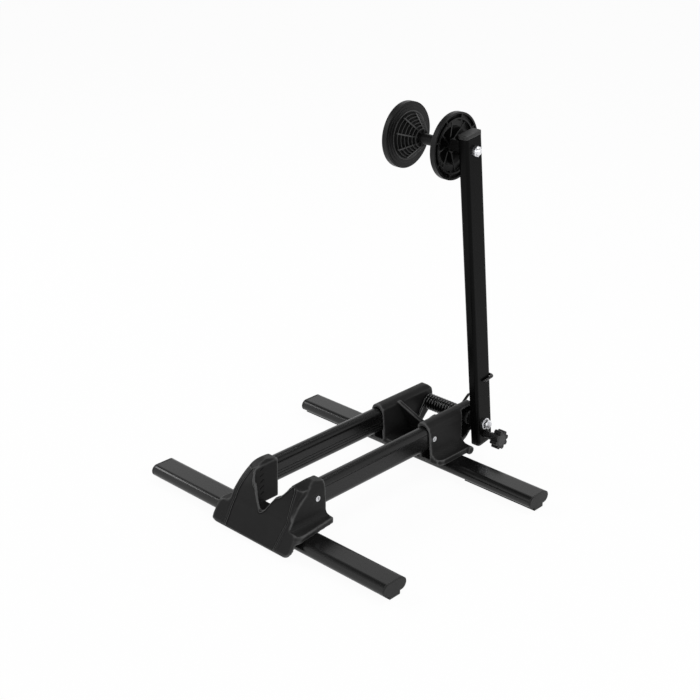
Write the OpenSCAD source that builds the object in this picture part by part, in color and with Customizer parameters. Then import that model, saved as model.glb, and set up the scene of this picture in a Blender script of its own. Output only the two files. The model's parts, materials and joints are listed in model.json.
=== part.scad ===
// Floor bike rack: two flat feet, two rails, a moulded front cradle, a moulded rear bracket and a sprung arm
// with a double-cone roller. X runs along the feet, a wheel rolls in from -Y, +Z is up, z = 0 is the floor.

/* [Feet] */
// Length of each foot over its end caps
foot_length = 414; // [360:1:520]
// Width of the flat-oval foot tube
foot_width = 39; // [34:0.5:46]
// Height of the foot tube
foot_height = 16; // [12:0.5:20]
// Wall of the foot tube
foot_wall = 2; // [1.2:0.1:3]
// Distance between the two feet
foot_spacing = 283.5; // [260:0.5:330]
// Height of the rubber pads under the feet
pad_height = 5; // [4:0.5:8]
// Width of the rubber pads
pad_width = 18; // [14:0.5:20]
// Length of each rubber pad
pad_length = 107; // [60:1:110]
// Thickness of the end cap's lip
cap_lip = 3; // [2:0.5:5]
// Length of the end cap's standing tab
cap_tab = 8; // [5:0.5:12]
// Length of the end cap's plug inside the tube
cap_plug = 14; // [8:1:20]

/* [Rails] */
// Distance between the middles of the rails
rail_spacing = 82.6; // [76:0.2:100]
// Width of a rail
rail_width = 17; // [15:0.5:18]
// Height of a rail
rail_height = 36; // [32:0.5:40]
// Wall of a rail
rail_wall = 1.8; // [1.2:0.1:2.5]
// Gap between the top of a foot and the rail above it
rail_lift = 17; // [15:0.5:22]
// Length of rail that the cradle's towers hold
rail_socket = 21; // [16:0.5:26]
// Number of grooves on a rail's inner side
rail_grooves = 3; // [1:1:4]
// Width of a rail groove
groove_width = 1.1; // [0.6:0.1:1.6]
// Depth of a rail groove
groove_depth = 0.6; // [0.3:0.1:0.9]
// Distance between two rail grooves
groove_pitch = 4; // [3:0.5:5]

/* [Front cradle] */
// Reach of the cradle in front of the front foot's middle
apron_reach = 37.4; // [34:0.2:46]
// Reach of the cradle behind the front foot's middle
cradle_back = 44.8; // [40:0.2:56]
// Width of the cradle's base
cradle_width = 145; // [138:1:170]
// Height of the apron's lower edge above the floor
apron_lift = 4.4; // [2:0.2:8]
// Corner radius of the apron
apron_corner = 14; // [8:0.5:16]
// Plastic over the top of the rails
tower_crown = 6; // [4:0.2:9]
// Wall between the wheel slot and a rail
inner_wall = 1.4; // [1:0.1:2.5]
// Wall outside a rail at the tower's foot
outer_wall = 3.8; // [3:0.1:5]
// Wall of the cradle's front face
face_wall = 3.5; // [2.5:0.1:5]
// How far the front face sweeps back from the notch to the towers' outer edges
face_sweep = 26; // [18:0.5:30]
// Corner radius between the front face and the towers' outer sides
face_corner = 4; // [3:0.5:10]
// Corner radius between the apron and the flanges, seen from above
apron_round = 8; // [4:0.5:12]
// Fall of the towers' tops towards their rear ends
tower_fall = 4.6; // [1:0.2:5]
// Height of the side flanges over the foot
flange_height = 10; // [8:0.5:13]
// Height of the lowest point of the wheel notch above the foot
notch_lift = 16; // [12:0.5:24]
// Depth of the panel sunk into the front face
panel_depth = 1; // [0.5:0.1:1.5]
// Width of the raised border round the sunk panel
panel_border = 3; // [2:0.2:5]
// Number of grip slots beside the notch
grip_slots = 5; // [3:1:7]
// Depth of a grip slot
grip_depth = 1.2; // [0.5:0.1:1.3]

/* [Rear bracket] */
// Reach of the bracket in front of the rear foot's middle
bracket_front = 41; // [36:0.5:50]
// Width of the bracket's base
bracket_width = 138; // [130:1:160]
// Height of the bracket's base flange
base_height = 8; // [5:0.5:10]
// Distance of the arm's pivot behind the rear foot's middle
pivot_reach = 56; // [52:0.5:66]
// Width of the cheek lobes that hold the pivot bolt
lobe_width = 16; // [12:0.5:18]
// Greatest reach of a lobe round the pivot
lobe_reach = 27.5; // [25:0.5:30]
// Wall of the bracket's moulding
bracket_wall = 3.5; // [2.5:0.1:4.5]
// Thickness of the saddle that the tyre rests in
saddle_wall = 3.6; // [2.5:0.1:5]
// Width of the saddle's lip
saddle_lip = 4.5; // [3:0.5:7]
// Height of the lowest point of the saddle above the foot
saddle_lift = 29; // [22:0.5:36]

/* [Arm] */
// Distance from the arm's pivot to the roller's axle
arm_length = 398; // [340:1:450]
// Width of the arm's tube seen from the side
arm_width = 30.6; // [27:0.2:36]
// Thickness of the arm's tube
arm_thickness = 15; // [12:0.5:18]
// Wall of the arm's tube
arm_wall = 1.8; // [1.2:0.1:2.5]
// Corner radius of the arm's tube
arm_corner = 4; // [2:0.1:5]
// Lean of the arm towards the front at rest, in degrees
arm_lean = 8.2; // [0:0.2:12]
// Length of the arm below its pivot
arm_tail = 30; // [27:0.5:34]
// Length of the arm's tube above the axle
arm_head = 18; // [16:0.5:26]
// Gap between the bracket's side and the arm
arm_gap = 3.6; // [2:0.2:6]
// Distance of the knob below the pivot
knob_drop = 16.8; // [16.2:0.1:20]

/* [Roller] */
// Width of the roller over both cones
roller_width = 85.5; // [76:0.5:92]
// Diameter of the cones' rims
cone_diameter = 86; // [76:0.2:96]
// Width of a cone's rim band
rim_band = 7; // [5:0.5:9]
// Width of the shallow rim between the band and the first step of the cone
rim_flat = 15; // [12:0.5:18]
// Diameter of the neck between the cones
neck_diameter = 14; // [13:0.5:16]
// Length of the narrow neck at each cone's end
neck_length = 12.5; // [8:0.5:14]
// Number of steps down a cone
cone_steps = 6; // [4:1:8]
// Number of fins and ribs round a cone
cone_fins = 8; // [6:1:12]
// Wall of a cone
cone_wall = 2.4; // [1.8:0.1:3]

/* [Spring] */
// Outer diameter of the torsion spring
spring_diameter = 23; // [21:0.5:25]
// Diameter of the spring's wire
wire = 4; // [3:0.1:4.2]
// Number of turns of the spring
spring_turns = 12; // [8:1:12]

/* [Hardware] */
// Diameter of the pivot and axle bolts
bolt = 8; // [6:0.5:8]
// Width of the nuts across their flats
nut_flats = 12.6; // [11:0.1:14]
// Height of the nuts
nut_height = 6.5; // [5:0.5:8]
// Diameter of the knob's head
knob_diameter = 27; // [25:0.5:32]
// Thickness of the knob's head
knob_width = 11; // [9:0.5:18]
// Length of the knob's neck
knob_neck = 14.4; // [8:0.2:18]
// Diameter of the knob's stud
stud = 6; // [5:0.5:6]
// Number of lobes round the knob
knob_lobes = 8; // [6:1:10]

/* [Hidden] */
$fn = 64;

// Overrun of every cut, and the gaps between pieces: sliding, pushed in and seated
over = 1;
slip = 0.05;
fit = 0.15;
seat = 0.3;

// Heights that follow from the sizes above
foot_top = pad_height + foot_height;
foot_mid = pad_height + foot_height / 2;
rail_z = foot_top + rail_lift + rail_height / 2;
tower_top = foot_top + rail_lift + rail_height + tower_crown;
pivot_z = rail_z;

// Half widths of the wheel slot, the towers and the lobes
rail_x = rail_spacing / 2;
slot_half = rail_x - rail_width / 2 - fit - inner_wall;
tower_half = rail_x + rail_width / 2 + fit + outer_wall;
lobe_out = slot_half + lobe_width;
arm_in = tower_half + arm_gap;
arm_out = arm_in + arm_thickness;

// Places along the length, with y = 0 midway between the apron and the arm's tail
tail_corner = 10;
rear_reach = pivot_reach + (arm_tail - tail_corner) * sin(arm_lean)
  + (arm_width / 2 - tail_corner) * cos(arm_lean) + tail_corner;
front_y = (apron_reach - foot_spacing - rear_reach) / 2;
rear_y = front_y + foot_spacing;
pivot_y = rear_y + pivot_reach;
cradle_y0 = front_y - apron_reach;
cradle_y1 = front_y + cradle_back;
rail_y0 = cradle_y1 - rail_socket;
rail_y1 = pivot_y - lobe_reach;

// Rail details
rail_flat = (rail_height - rail_width) / 2;

// Pad details
pad_groove = 2;
pad_groove_depth = 1.2;
pad_groove_y = pad_width / 4;

// Rail screws: pan heads sunk into the mouldings' sides
screw = 4;
screw_head = 7.4;
screw_head_height = 2.2;
screw_length = 14;
screw_floor = 1.5;
screw_inset = 15;
rear_screw_inset = 11.5;
screw_x = rail_x + rail_width / 2 + fit + screw_floor;

// Foot screws: from below through the tube into the boss under each rail
foot_screw = 6;
foot_screw_head = 11;
foot_screw_head_height = 2.5;
foot_screw_grip = 11;
foot_screw_room = 1;

module stadium(long, short) {
  union() {
    square([long - short, short], center = true);
    for (s = [-1, 1]) translate([s * (long - short) / 2, 0]) circle(d = short);
  }
}

module round_rect(w, h, r) {
  union() {
    square([w - 2 * r, h], center = true);
    square([w, h - 2 * r], center = true);
    for (a = [-1, 1], b = [-1, 1]) translate([a * (w / 2 - r), b * (h / 2 - r)]) circle(r = r);
  }
}

// A flat-oval bar along X between x0 and x1, with its middle at y and z
module bar_x(x0, x1, y, z, long, short) {
  translate([x0, y, z]) rotate([90, 0, 90]) linear_extrude(x1 - x0) stadium(long, short);
}

// A shape drawn in [y, z] and pushed along X, and one drawn in [x, z] and pushed along Y
module along_x(x0, x1) {
  translate([x0, 0, 0]) rotate([90, 0, 90]) linear_extrude(x1 - x0) children();
}

module along_y(y0, y1) {
  translate([0, y1, 0]) rotate([90, 0, 0]) linear_extrude(y1 - y0) children();
}

module rod_x(d, x0, x1) {
  translate([x0, 0, 0]) rotate([0, 90, 0]) cylinder(d = d, h = x1 - x0);
}

module tube_x(d, bore, x0, x1) {
  difference() {
    rod_x(d, x0, x1);
    rod_x(bore, x0 - over, x1 + over);
  }
}

module hexagon_x(flats, x0, x1) {
  translate([x0, 0, 0]) rotate([0, 90, 0]) cylinder(d = flats / cos(30), h = x1 - x0, $fn = 6);
}

module both_sides() {
  children();
  mirror([1, 0, 0]) children();
}

// Feet: flat-oval tubes with plugged ends on rubber pads
module foot_tube(y) {
  half = foot_length / 2 - cap_lip;
  difference() {
    bar_x(-half, half, y, foot_mid, foot_width, foot_height);
    bar_x(-half - over, half + over, y, foot_mid, foot_width - 2 * foot_wall, foot_height - 2 * foot_wall);
    both_sides() translate([rail_x, y, 0]) cylinder(d = foot_screw + 2 * fit, h = foot_top + over);
  }
}

module foot_caps(y) {
  end = foot_length / 2;
  both_sides() {
    bar_x(end - cap_lip, end, y, foot_mid, foot_width, foot_height);
    difference() {
      bar_x(end - cap_lip - cap_plug, end - cap_lip / 2, y, foot_mid,
        foot_width - 2 * foot_wall - 2 * fit, foot_height - 2 * foot_wall - 2 * fit);
      bar_x(end - cap_lip - cap_plug - over, end - cap_lip, y, foot_mid,
        foot_width - 4 * foot_wall, foot_height - 4 * foot_wall);
    }
    translate([end - cap_tab, y - pad_width / 2, 0]) cube([cap_tab, pad_width, pad_height]);
    translate([end - cap_lip, y - pad_width / 2, 0]) cube([cap_lip, pad_width, pad_height + foot_wall]);
  }
}

module foot_pads(y) {
  x0 = foot_length / 2 - cap_tab - pad_length;
  both_sides() difference() {
    translate([x0, y - pad_width / 2, 0]) cube([pad_length, pad_width, pad_height]);
    for (s = [-1, 1]) translate([x0 - over, y + s * pad_groove_y - pad_groove / 2, -over])
      cube([pad_length + 2 * over, pad_groove, over + pad_groove_depth]);
  }
}

module foot_screws(y) {
  both_sides() translate([rail_x, y, pad_height]) {
    translate([0, 0, -foot_screw_head_height]) difference() {
      cylinder(d = foot_screw_head, h = foot_screw_head_height);
      translate([0, 0, -over])
        cylinder(d = foot_screw / cos(30), h = over + foot_screw_head_height / 2, $fn = 6);
    }
    cylinder(d = foot_screw, h = foot_height + foot_screw_grip);
  }
}

// Rails: flat-oval extrusions on edge, grooved on the side that faces the wheel
module rail() {
  difference() {
    along_y(rail_y0, rail_y1) difference() {
      translate([rail_x, rail_z]) rotate(90) stadium(rail_height, rail_width);
      translate([rail_x, rail_z]) rotate(90) stadium(rail_height - 2 * rail_wall, rail_width - 2 * rail_wall);
      for (i = [0 : rail_grooves - 1])
        translate([rail_x - rail_width / 2 - over, rail_z - rail_flat + groove_width / 2 + i * groove_pitch])
          square([over + groove_depth, groove_width]);
      translate([rail_x + rail_width / 2 - groove_depth, rail_z + rail_flat - groove_width])
        square([over + groove_depth, groove_width]);
    }
    for (y = [cradle_y1 - screw_inset, bracket_y0 + rear_screw_inset])
      translate([0, y, rail_z]) rod_x(screw + 2 * slip, rail_x, tower_half);
  }
}

module rail_screws(y) {
  both_sides() translate([0, y, rail_z]) {
    rod_x(screw, screw_x - screw_length, screw_x + screw_head_height / 2);
    difference() {
      rod_x(screw_head, screw_x, screw_x + screw_head_height);
      hexagon_x(screw, screw_x + screw_head_height / 2, screw_x + screw_head_height + over);
    }
  }
}

module screw_cuts(y) {
  both_sides() translate([0, y, rail_z]) {
    rod_x(screw + 2 * fit, rail_x, tower_half);
    rod_x(screw_head + 2 * seat + 2 * fit, screw_x, tower_half + over);
  }
}

// Front cradle: the front face follows a profile down the middle and sweeps back towards its sides
face_z_shares = [0, 0.06, 0.1, 0.153, 0.206, 0.272, 0.339, 0.405, 0.458, 0.524, 0.611, 0.683, 0.735, 0.788,
  0.849, 0.894, 0.934, 0.967, 0.991, 1];
face_y_shares = [0, 0.004, 0.034, 0.066, 0.098, 0.136, 0.178, 0.229, 0.263, 0.277, 0.303, 0.328, 0.351, 0.38,
  0.415, 0.428, 0.452, 0.5, 0.586, 0.72];
sweep_from_share = 0.458;
sweep_rise = 1.7;
sweep_power = 3;
apron_z = apron_lift;
face_height = tower_top - apron_z;
face_depth = apron_reach + cradle_back;

function face_z(j) = apron_z + face_height * face_z_shares[j];
function face_mid_y(j) = cradle_y0 + face_depth * face_y_shares[j];
function sweep_at(j) = face_sweep
  * pow(max(0, (face_z_shares[j] - sweep_from_share) / (1 - sweep_from_share)), sweep_rise);
function face_y(x, j) = face_mid_y(j) + sweep_at(j) * pow(abs(x) / tower_half, sweep_power);

// The swept face is cut by profiles turned about Z, each touching the face's curve where it has that slope
face_turns = [7, 15, 24, 34];
function touch_x(j, turn) = tower_half
  * pow(tower_half * tan(turn) / (sweep_power * sweep_at(j)), 1 / (sweep_power - 1));
function turned_y(j, turn) = face_mid_y(j)
  - (sweep_at(j) > slip ? min(face_depth, (1 - 1 / sweep_power) * touch_x(j, turn) * tan(turn)) : face_depth);

// Steeper profiles round the corners off, from the wide corner of the apron to the narrow one of the tower
corner_turns = [36, 52, 70];
corner_from_share = 0.3;
corner_full_share = 0.55;
function corner_share(j) = max(0, min(1,
  (face_z_shares[j] - corner_from_share) / (corner_full_share - corner_from_share)));
function corner_half(j) = cradle_width / 2 + (tower_half - cradle_width / 2) * corner_share(j);
function corner_r(j) = apron_round + (face_corner - apron_round) * corner_share(j);
function corner_y(j, turn) = face_y(tower_half * corner_share(j), j) + corner_r(j)
  - ((corner_half(j) - corner_r(j)) * sin(turn) + corner_r(j)) / cos(turn);

module turned_profile(depth, turn) {
  rows = [0 : len(face_z_shares) - 1];
  back = cradle_y1 + 2 * cradle_width;
  rotate([0, 0, turn]) along_x(-2 * cradle_width, 2 * cradle_width) polygon(concat(
    [for (j = rows) [(depth + (turn == 0 ? face_mid_y(j) : abs(turn) < corner_turns[0]
      ? turned_y(j, abs(turn)) : corner_y(j, abs(turn)))) * cos(turn), face_z(j)]],
    [[back, tower_top], [back, apron_z]]));
}

// The block behind the swept face, with the face pushed back by a depth
module face_block(depth) {
  intersection() {
    turned_profile(depth, 0);
    turned_profile(depth, face_turns[0]);
    turned_profile(depth, -face_turns[0]);
    turned_profile(depth, face_turns[1]);
    turned_profile(depth, -face_turns[1]);
    turned_profile(depth, face_turns[2]);
    turned_profile(depth, -face_turns[2]);
    turned_profile(depth, face_turns[3]);
    turned_profile(depth, -face_turns[3]);
    turned_profile(depth, corner_turns[0]);
    turned_profile(depth, -corner_turns[0]);
    turned_profile(depth, corner_turns[1]);
    turned_profile(depth, -corner_turns[1]);
    turned_profile(depth, corner_turns[2]);
    turned_profile(depth, -corner_turns[2]);
  }
}

// Outline of a tower or cheek from its inner side over the crown to its outer side, [x, z] as shares
crown_x_shares = [0.09, 0.19, 0.326, 0.46, 0.6, 0.74, 0.86, 0.94, 0.975, 1, 1];
crown_z_shares = [0.935, 0.98, 1, 1, 0.985, 0.945, 0.88, 0.763, 0.49, 0.17, 0];
notch_x_shares = [0, 0.06, 0.13, 0.24, 0.336, 0.44, 0.576, 0.66, 0.76, 0.84, 0.93, 0.98, 1];
notch_z_shares = [0, 0.008, 0.04, 0.13, 0.247, 0.358, 0.512, 0.555, 0.585, 0.64, 0.74, 0.81, 0.88];
tower_height = tower_top - foot_top;
tower_width = tower_half - slot_half;
notch_z = foot_top + notch_lift;

// A flange seen from the front: the tower's side curves out into it, more steeply at the corner than behind
flange_x_shares = [0, 0.03, 0.09, 0.19, 0.3, 0.37, 0.64, 0.72, 0.97, 1];
flange_z_shares = [2, 1.72, 1.46, 1.26, 1.14, 1.1, 1.04, 1.02, 1, 0.94];
shelf_z_shares = [1.5, 1.22, 1.04, 0.97, 0.91, 0.88, 0.83, 0.81, 0.77, 0.7];
flange_width = cradle_width / 2 - tower_half;
function side_points(z_shares) = [for (i = [0 : len(flange_x_shares) - 1])
  [tower_half + flange_width * flange_x_shares[i], foot_top + flange_height * z_shares[i]]];

function crown_points() = [for (i = [0 : len(crown_x_shares) - 1])
  [slot_half + tower_width * crown_x_shares[i], foot_top + tower_height * crown_z_shares[i]]];
function notch_points(drop) = [for (i = [0 : len(notch_x_shares) - 1])
  [slot_half * notch_x_shares[i], notch_z - drop + (tower_top - notch_z) * notch_z_shares[i]]];
function mirrored(points) = [for (i = [len(points) - 1 : -1 : 0]) [-points[i][0], points[i][1]]];

// The cradle seen from the front: apron and flanges below, towers and notch above
module cradle_outline() {
  crown = crown_points();
  half = concat(notch_points(0), [for (i = [0 : len(crown) - 4]) crown[i]], side_points(flange_z_shares),
    [[cradle_width / 2, apron_z]]);
  difference() {
    polygon(concat(mirrored(half), half));
    for (s = [0, 1]) mirror([s, 0]) difference() {
      translate([cradle_width / 2 - apron_corner, apron_z - over]) square(apron_corner + over);
      translate([cradle_width / 2 - apron_corner, apron_z + apron_corner]) circle(r = apron_corner);
    }
  }
}

// The sunk panel's outline: inside the notch, the towers' edges and the apron
panel_x_shares = [0.19, 0.3, 0.44, 0.56, 0.6, 0.54, 0.46];
panel_z_shares = [0.91, 0.84, 0.66, 0.46, 0.28, 0.05, -0.24];
module panel_outline() {
  notch = notch_points(panel_border);
  last = len(notch) - 3;
  half = concat([for (i = [0 : last]) notch[i]], [for (i = [0 : len(panel_x_shares) - 1])
    [slot_half + tower_width * panel_x_shares[i], foot_top + tower_height * panel_z_shares[i]]]);
  polygon(concat(mirrored(half), half));
}

// Space behind the front face, below the foot's top or from a height up, as a [y, z] outline
function face_back(rows, x) = [for (j = rows) [face_y(x, j) + face_wall, face_z(j)]];

flange_taper = 6.2;
fall_reach = 19;
shelf_front = 2;
rib = 2.4;
rib_x = 30;
grip_width = 1.6;
grip_length = 6.6;
grip_back = 29.5;
grip_share = 0.25;
grip_pitch_share = 0.73;
grip_tilt = 25;
tower_void_wall = 3;

module front_cradle() {
  rows = len(face_z_shares);
  floor_rows = [for (j = [0 : rows - 1]) if (face_z(j) < foot_top) j];
  slot_rows = [for (j = [0 : rows - 1]) if (face_z(j) > foot_top + face_wall) j];
  y1 = cradle_y1 + over;
  foot_front = front_y - foot_width / 2 - seat;
  color("#262628") difference() {
    intersection() {
      face_block(0);
      along_y(cradle_y0 - over, cradle_y1) cradle_outline();
    }
    // The panel sunk into the front face
    difference() {
      along_y(cradle_y0 - over, cradle_y1) panel_outline();
      face_block(panel_depth);
    }
    // The wheel slot between the towers, over a floor
    along_x(-slot_half, slot_half) polygon(concat(face_back(slot_rows, slot_half),
      [[y1, tower_top + over], [y1, foot_top + face_wall],
       [face_y(0, slot_rows[0]) + face_wall, foot_top + face_wall]]));
    // The room for the foot behind the apron
    difference() {
      along_x(-cradle_width, cradle_width) polygon(concat(
        [[face_mid_y(0) + face_wall, -over]], face_back(floor_rows, 0),
        [[face_y(0, max(floor_rows)) + face_wall, foot_top], [y1, foot_top], [y1, -over]]));
      for (x = [-rib_x, 0, rib_x]) translate([x - rib / 2, cradle_y0, apron_z + face_wall])
        cube([rib, foot_front - cradle_y0, foot_top]);
    }
    // The floor is left out behind the foot
    translate([-slot_half, front_y + foot_width / 2, foot_top - over])
      cube([2 * slot_half, face_depth, over + 2 * face_wall]);
    // The towers' tops fall towards their rear ends
    along_x(-cradle_width, cradle_width) polygon([[cradle_y1 - fall_reach, tower_top],
      [y1, tower_top - tower_fall * (1 + over / fall_reach)], [y1, tower_top + over],
      [cradle_y1 - fall_reach, tower_top + over]]);
    // Flanges: a lower shelf behind the rounded corner, tapered in plan
    both_sides() {
      along_y(front_y - foot_width / 2 - shelf_front, y1) polygon(concat(side_points(shelf_z_shares),
        [[cradle_width / 2 + over, foot_top + flange_height * shelf_z_shares[len(shelf_z_shares) - 1]],
         [cradle_width / 2 + over, foot_top + 3 * flange_height],
         [tower_half, foot_top + 3 * flange_height]]));
      translate([0, 0, foot_top - over]) linear_extrude(flange_height + 2 * over) polygon([
        [cradle_width / 2, front_y - foot_width / 2], [cradle_width / 2 - flange_taper, y1],
        [cradle_width / 2 + over, y1], [cradle_width / 2 + over, front_y - foot_width / 2]]);
      // The rail's socket, the hollow under it behind the foot, and the foot screw's hole
      along_y(rail_y0 - seat, y1) translate([rail_x, rail_z]) rotate(90)
        stadium(rail_height + 2 * fit, rail_width + 2 * fit);
      translate([slot_half + tower_void_wall, front_y + foot_width / 2, foot_top - over])
        cube([tower_width - 2 * tower_void_wall, cradle_back - foot_width / 2 - tower_void_wall,
          over + rail_lift - tower_void_wall]);
      translate([rail_x, front_y, foot_top - over])
        cylinder(d = foot_screw + 2 * slip, h = over + foot_screw_grip + foot_screw_room);
      // Grip slots on the slot's inner sides
      for (i = [0 : grip_slots - 1])
        translate([slot_half, cradle_y1 - grip_back,
          foot_top + tower_height * (grip_share + grip_pitch_share * i / grip_slots)])
          rotate([grip_tilt, 0, 0]) cube([2 * grip_depth, grip_length, grip_width], center = true);
    }
    screw_cuts(cradle_y1 - screw_inset);
  }
}

// Rear bracket: two cheeks that take the rails, a base on the foot, a V saddle and two lobes for the pivot
bracket_y0 = rear_y - bracket_front;
bracket_y1 = rail_y1 + seat + bracket_wall;
mouth_slant = 7;
base_back = 25;
base_corner = 9;
nub_diameter = 12;
nub_back = 30;
nub_in = 8;
cheek_corner = 6;
saddle_foot = 26;
saddle_top = 10;
saddle_edge_share = 0.95;
lip_reach = 2;
lobe_y_shares = [-1.36, -0.1, 0.08, 0.2, 0.3, 0.38, 0.43, 0.455,
  0.455, 0.42, 0.34, 0.2, 0.02, -0.24, -0.72, -1.36];
lobe_z_shares = [0.87, 0.87, 0.85, 0.79, 0.7, 0.57, 0.4, 0.2,
  0, -0.22, -0.44, -0.6, -0.74, -1, -1.27, -1.27];
lobe_inset_share = 0.8;
boss_diameter = 20;
cheek_bore = 12;
anchor_width = 5;
anchor_size = 9;
arch_share = 0.48;

function lobe_points() = [for (i = [0 : len(lobe_y_shares) - 1])
  [pivot_y + lobe_reach * lobe_y_shares[i], pivot_z + lobe_reach * lobe_z_shares[i]]];
function cheek_points() = concat(
  [[slot_half, foot_top], [slot_half, foot_top + tower_height * crown_z_shares[6]]],
  [for (i = [0 : len(crown_x_shares) - 4]) crown_points()[i]]);

// The cheek's outer side curves out into the base
skirt_x_shares = [0, 0.06, 0.2, 0.42, 0.7, 0.7];
skirt_z_shares = [1.1, 0.6, 0.28, 0.08, 0, -1];
function skirt_points() = [for (i = [0 : len(skirt_x_shares) - 1])
  [tower_half + (bracket_width / 2 - tower_half) * skirt_x_shares[i],
   foot_top + base_height * (1 + skirt_z_shares[i])]];
function saddle_y(z) = rear_y + saddle_foot - (saddle_foot + saddle_top) * (z - foot_top) / tower_height;
function saddle_points(drop) = [[-slot_half, foot_top + tower_height * saddle_edge_share - drop],
  [-slot_half / 6, foot_top + saddle_lift + slot_half / 12 - drop], [0, foot_top + saddle_lift - drop],
  [slot_half / 6, foot_top + saddle_lift + slot_half / 12 - drop],
  [slot_half, foot_top + tower_height * saddle_edge_share - drop]];

module saddle_slab(front, back) {
  along_x(-slot_half - over, slot_half + over) polygon([
    [saddle_y(foot_top) - front, foot_top], [saddle_y(tower_top) - front, tower_top],
    [saddle_y(tower_top) + back, tower_top], [saddle_y(foot_top) + back, foot_top]]);
}

module rear_bracket() {
  color("#262628") difference() {
    union() {
      // Cheeks round the rails
      both_sides() along_y(bracket_y0, bracket_y1) polygon(concat(cheek_points(), skirt_points()));
      // Lobes round the pivot, under the same crown
      both_sides() intersection() {
        along_x(slot_half, lobe_out) polygon(lobe_points());
        along_y(bracket_y0, pivot_y + lobe_reach) polygon(concat(cheek_points(), [[tower_half, foot_top]]));
      }
      // Base flange and its rear nubs
      translate([0, 0, foot_top]) linear_extrude(base_height) base_outline();
      both_sides() translate([0, rear_y + nub_back, foot_top + base_height - nub_diameter / 2])
        rod_x(nub_diameter, tower_half - nub_in, bracket_width / 2 + base_height / 4);
      // Saddle web and lip
      intersection() {
        saddle_slab(0, saddle_wall);
        along_y(bracket_y0, bracket_y1) polygon(concat([[-slot_half - over, foot_top]], saddle_points(0),
          [[slot_half + over, foot_top]]));
      }
      intersection() {
        saddle_slab(lip_reach, saddle_wall + lip_reach);
        along_y(bracket_y0, bracket_y1) polygon(concat(saddle_points(0),
          [for (i = [4 : -1 : 0]) saddle_points(saddle_lip)[i]]));
      }
      // The anchor that the spring's fixed leg rests on
      spring_anchor();
    }
    // Arch through the web under the saddle
    intersection() {
      along_y(bracket_y0, bracket_y1) translate([0, foot_top + base_height])
        circle(r = arch_share * slot_half);
      along_y(bracket_y0, bracket_y1) translate([-slot_half, foot_top + base_height])
        square([2 * slot_half, saddle_lift]);
    }
    // Rounded rear corners of the cheeks
    both_sides() translate([tower_half - cheek_corner, bracket_y1 - cheek_corner, foot_top + 2 * base_height])
      linear_extrude(tower_height) difference() {
        square(cheek_corner + over);
        circle(r = cheek_corner);
      }
    // Slanted mouth
    along_x(-bracket_width, bracket_width) polygon([[bracket_y0 - over, tower_top],
      [bracket_y0, tower_top], [bracket_y0 + mouth_slant, foot_top], [bracket_y0 + mouth_slant, -over],
      [bracket_y0 - over, -over]]);
    both_sides() {
      // Rail socket and the hollow under the rail
      along_y(bracket_y0 - over, rail_y1 + seat) translate([rail_x, rail_z]) rotate(90)
        stadium(rail_height + 2 * fit, rail_width + 2 * fit);
      difference() {
        translate([slot_half + bracket_wall, bracket_y0 - over, foot_top + bracket_wall])
          cube([tower_width - 2 * bracket_wall, bracket_front + base_back,
            rail_lift + rail_width / 4 - bracket_wall]);
        translate([rail_x, rear_y, foot_top]) cylinder(d = foot_screw_head + bracket_wall, h = rail_lift);
      }
      // Open backs of the lobes round a boss for the bolt
      difference() {
        along_x(slot_half + bracket_wall, lobe_out + over) intersection() {
          translate([pivot_y, pivot_z]) scale(lobe_inset_share) translate([-pivot_y, -pivot_z])
            polygon(lobe_points());
          translate([bracket_y1, 0]) square([2 * lobe_reach, tower_top]);
        }
        translate([0, pivot_y, pivot_z]) rod_x(boss_diameter, slot_half, lobe_out);
      }
      translate([0, pivot_y, pivot_z]) rod_x(cheek_bore, 0, lobe_out + over);
      translate([rail_x, rear_y, foot_top - over])
        cylinder(d = foot_screw + 2 * slip, h = over + foot_screw_grip + foot_screw_room);
    }
    screw_cuts(bracket_y0 + rear_screw_inset);
  }
}

module base_outline() {
  w = bracket_width / 2;
  y0 = bracket_y0 + mouth_slant;
  y1 = rear_y + base_back;
  translate([-w, y0 + base_corner]) square([2 * w, y1 - y0 - base_corner]);
  translate([-w + base_corner, y0]) square([2 * w - 2 * base_corner, y1 - y0]);
  for (s = [-1, 1]) translate([s * (w - base_corner), y0 + base_corner]) circle(r = base_corner);
  for (s = [-1, 1]) translate([s * (w - (w - tower_half) / 2), y1])
    square([w - tower_half, 2 * (nub_back - base_back)], center = true);
}

// Hardware at the pivot
washer_thickness = 1.6;
washer_diameter = 16;
head_height = 5.3;
tip = 2;
spacer_diameter = 17;
nut_chamfer_share = 0.96;

module at_pivot() {
  translate([0, pivot_y, pivot_z]) children();
}

module pivot_bolt() {
  head = lobe_out + washer_thickness;
  color("#b9bcc0") at_pivot() {
    rod_x(bolt, -head, arm_out + nut_height + tip);
    hexagon_x(nut_flats, -head - head_height, -head);
  }
}

module nut_x(x0) {
  difference() {
    union() {
      intersection() {
        hexagon_x(nut_flats, x0, x0 + nut_height);
        translate([x0, 0, 0]) rotate([0, 90, 0])
          cylinder(d1 = nut_flats / cos(30) + 2 * nut_height, d2 = nut_flats * nut_chamfer_share,
            h = nut_height);
      }
      rod_x(washer_diameter, x0, x0 + washer_thickness);
    }
    rod_x(bolt, x0 - over, x0 + nut_height + over);
  }
}

module pivot_nut() {
  color("#c4c7cb") at_pivot() nut_x(arm_out);
}

module pivot_washer() {
  color("#b9bcc0") at_pivot()
    tube_x(washer_diameter, bolt + 2 * slip, -lobe_out - washer_thickness, -lobe_out);
}

module cheek_bushes() {
  color("#303032") at_pivot() both_sides()
    tube_x(cheek_bore - 2 * slip, bolt + 2 * slip, slot_half, lobe_out);
}

module pivot_spacer() {
  color("#303032") at_pivot() tube_x(spacer_diameter, bolt + 2 * slip, lobe_out, arm_in - seat);
}

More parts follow.
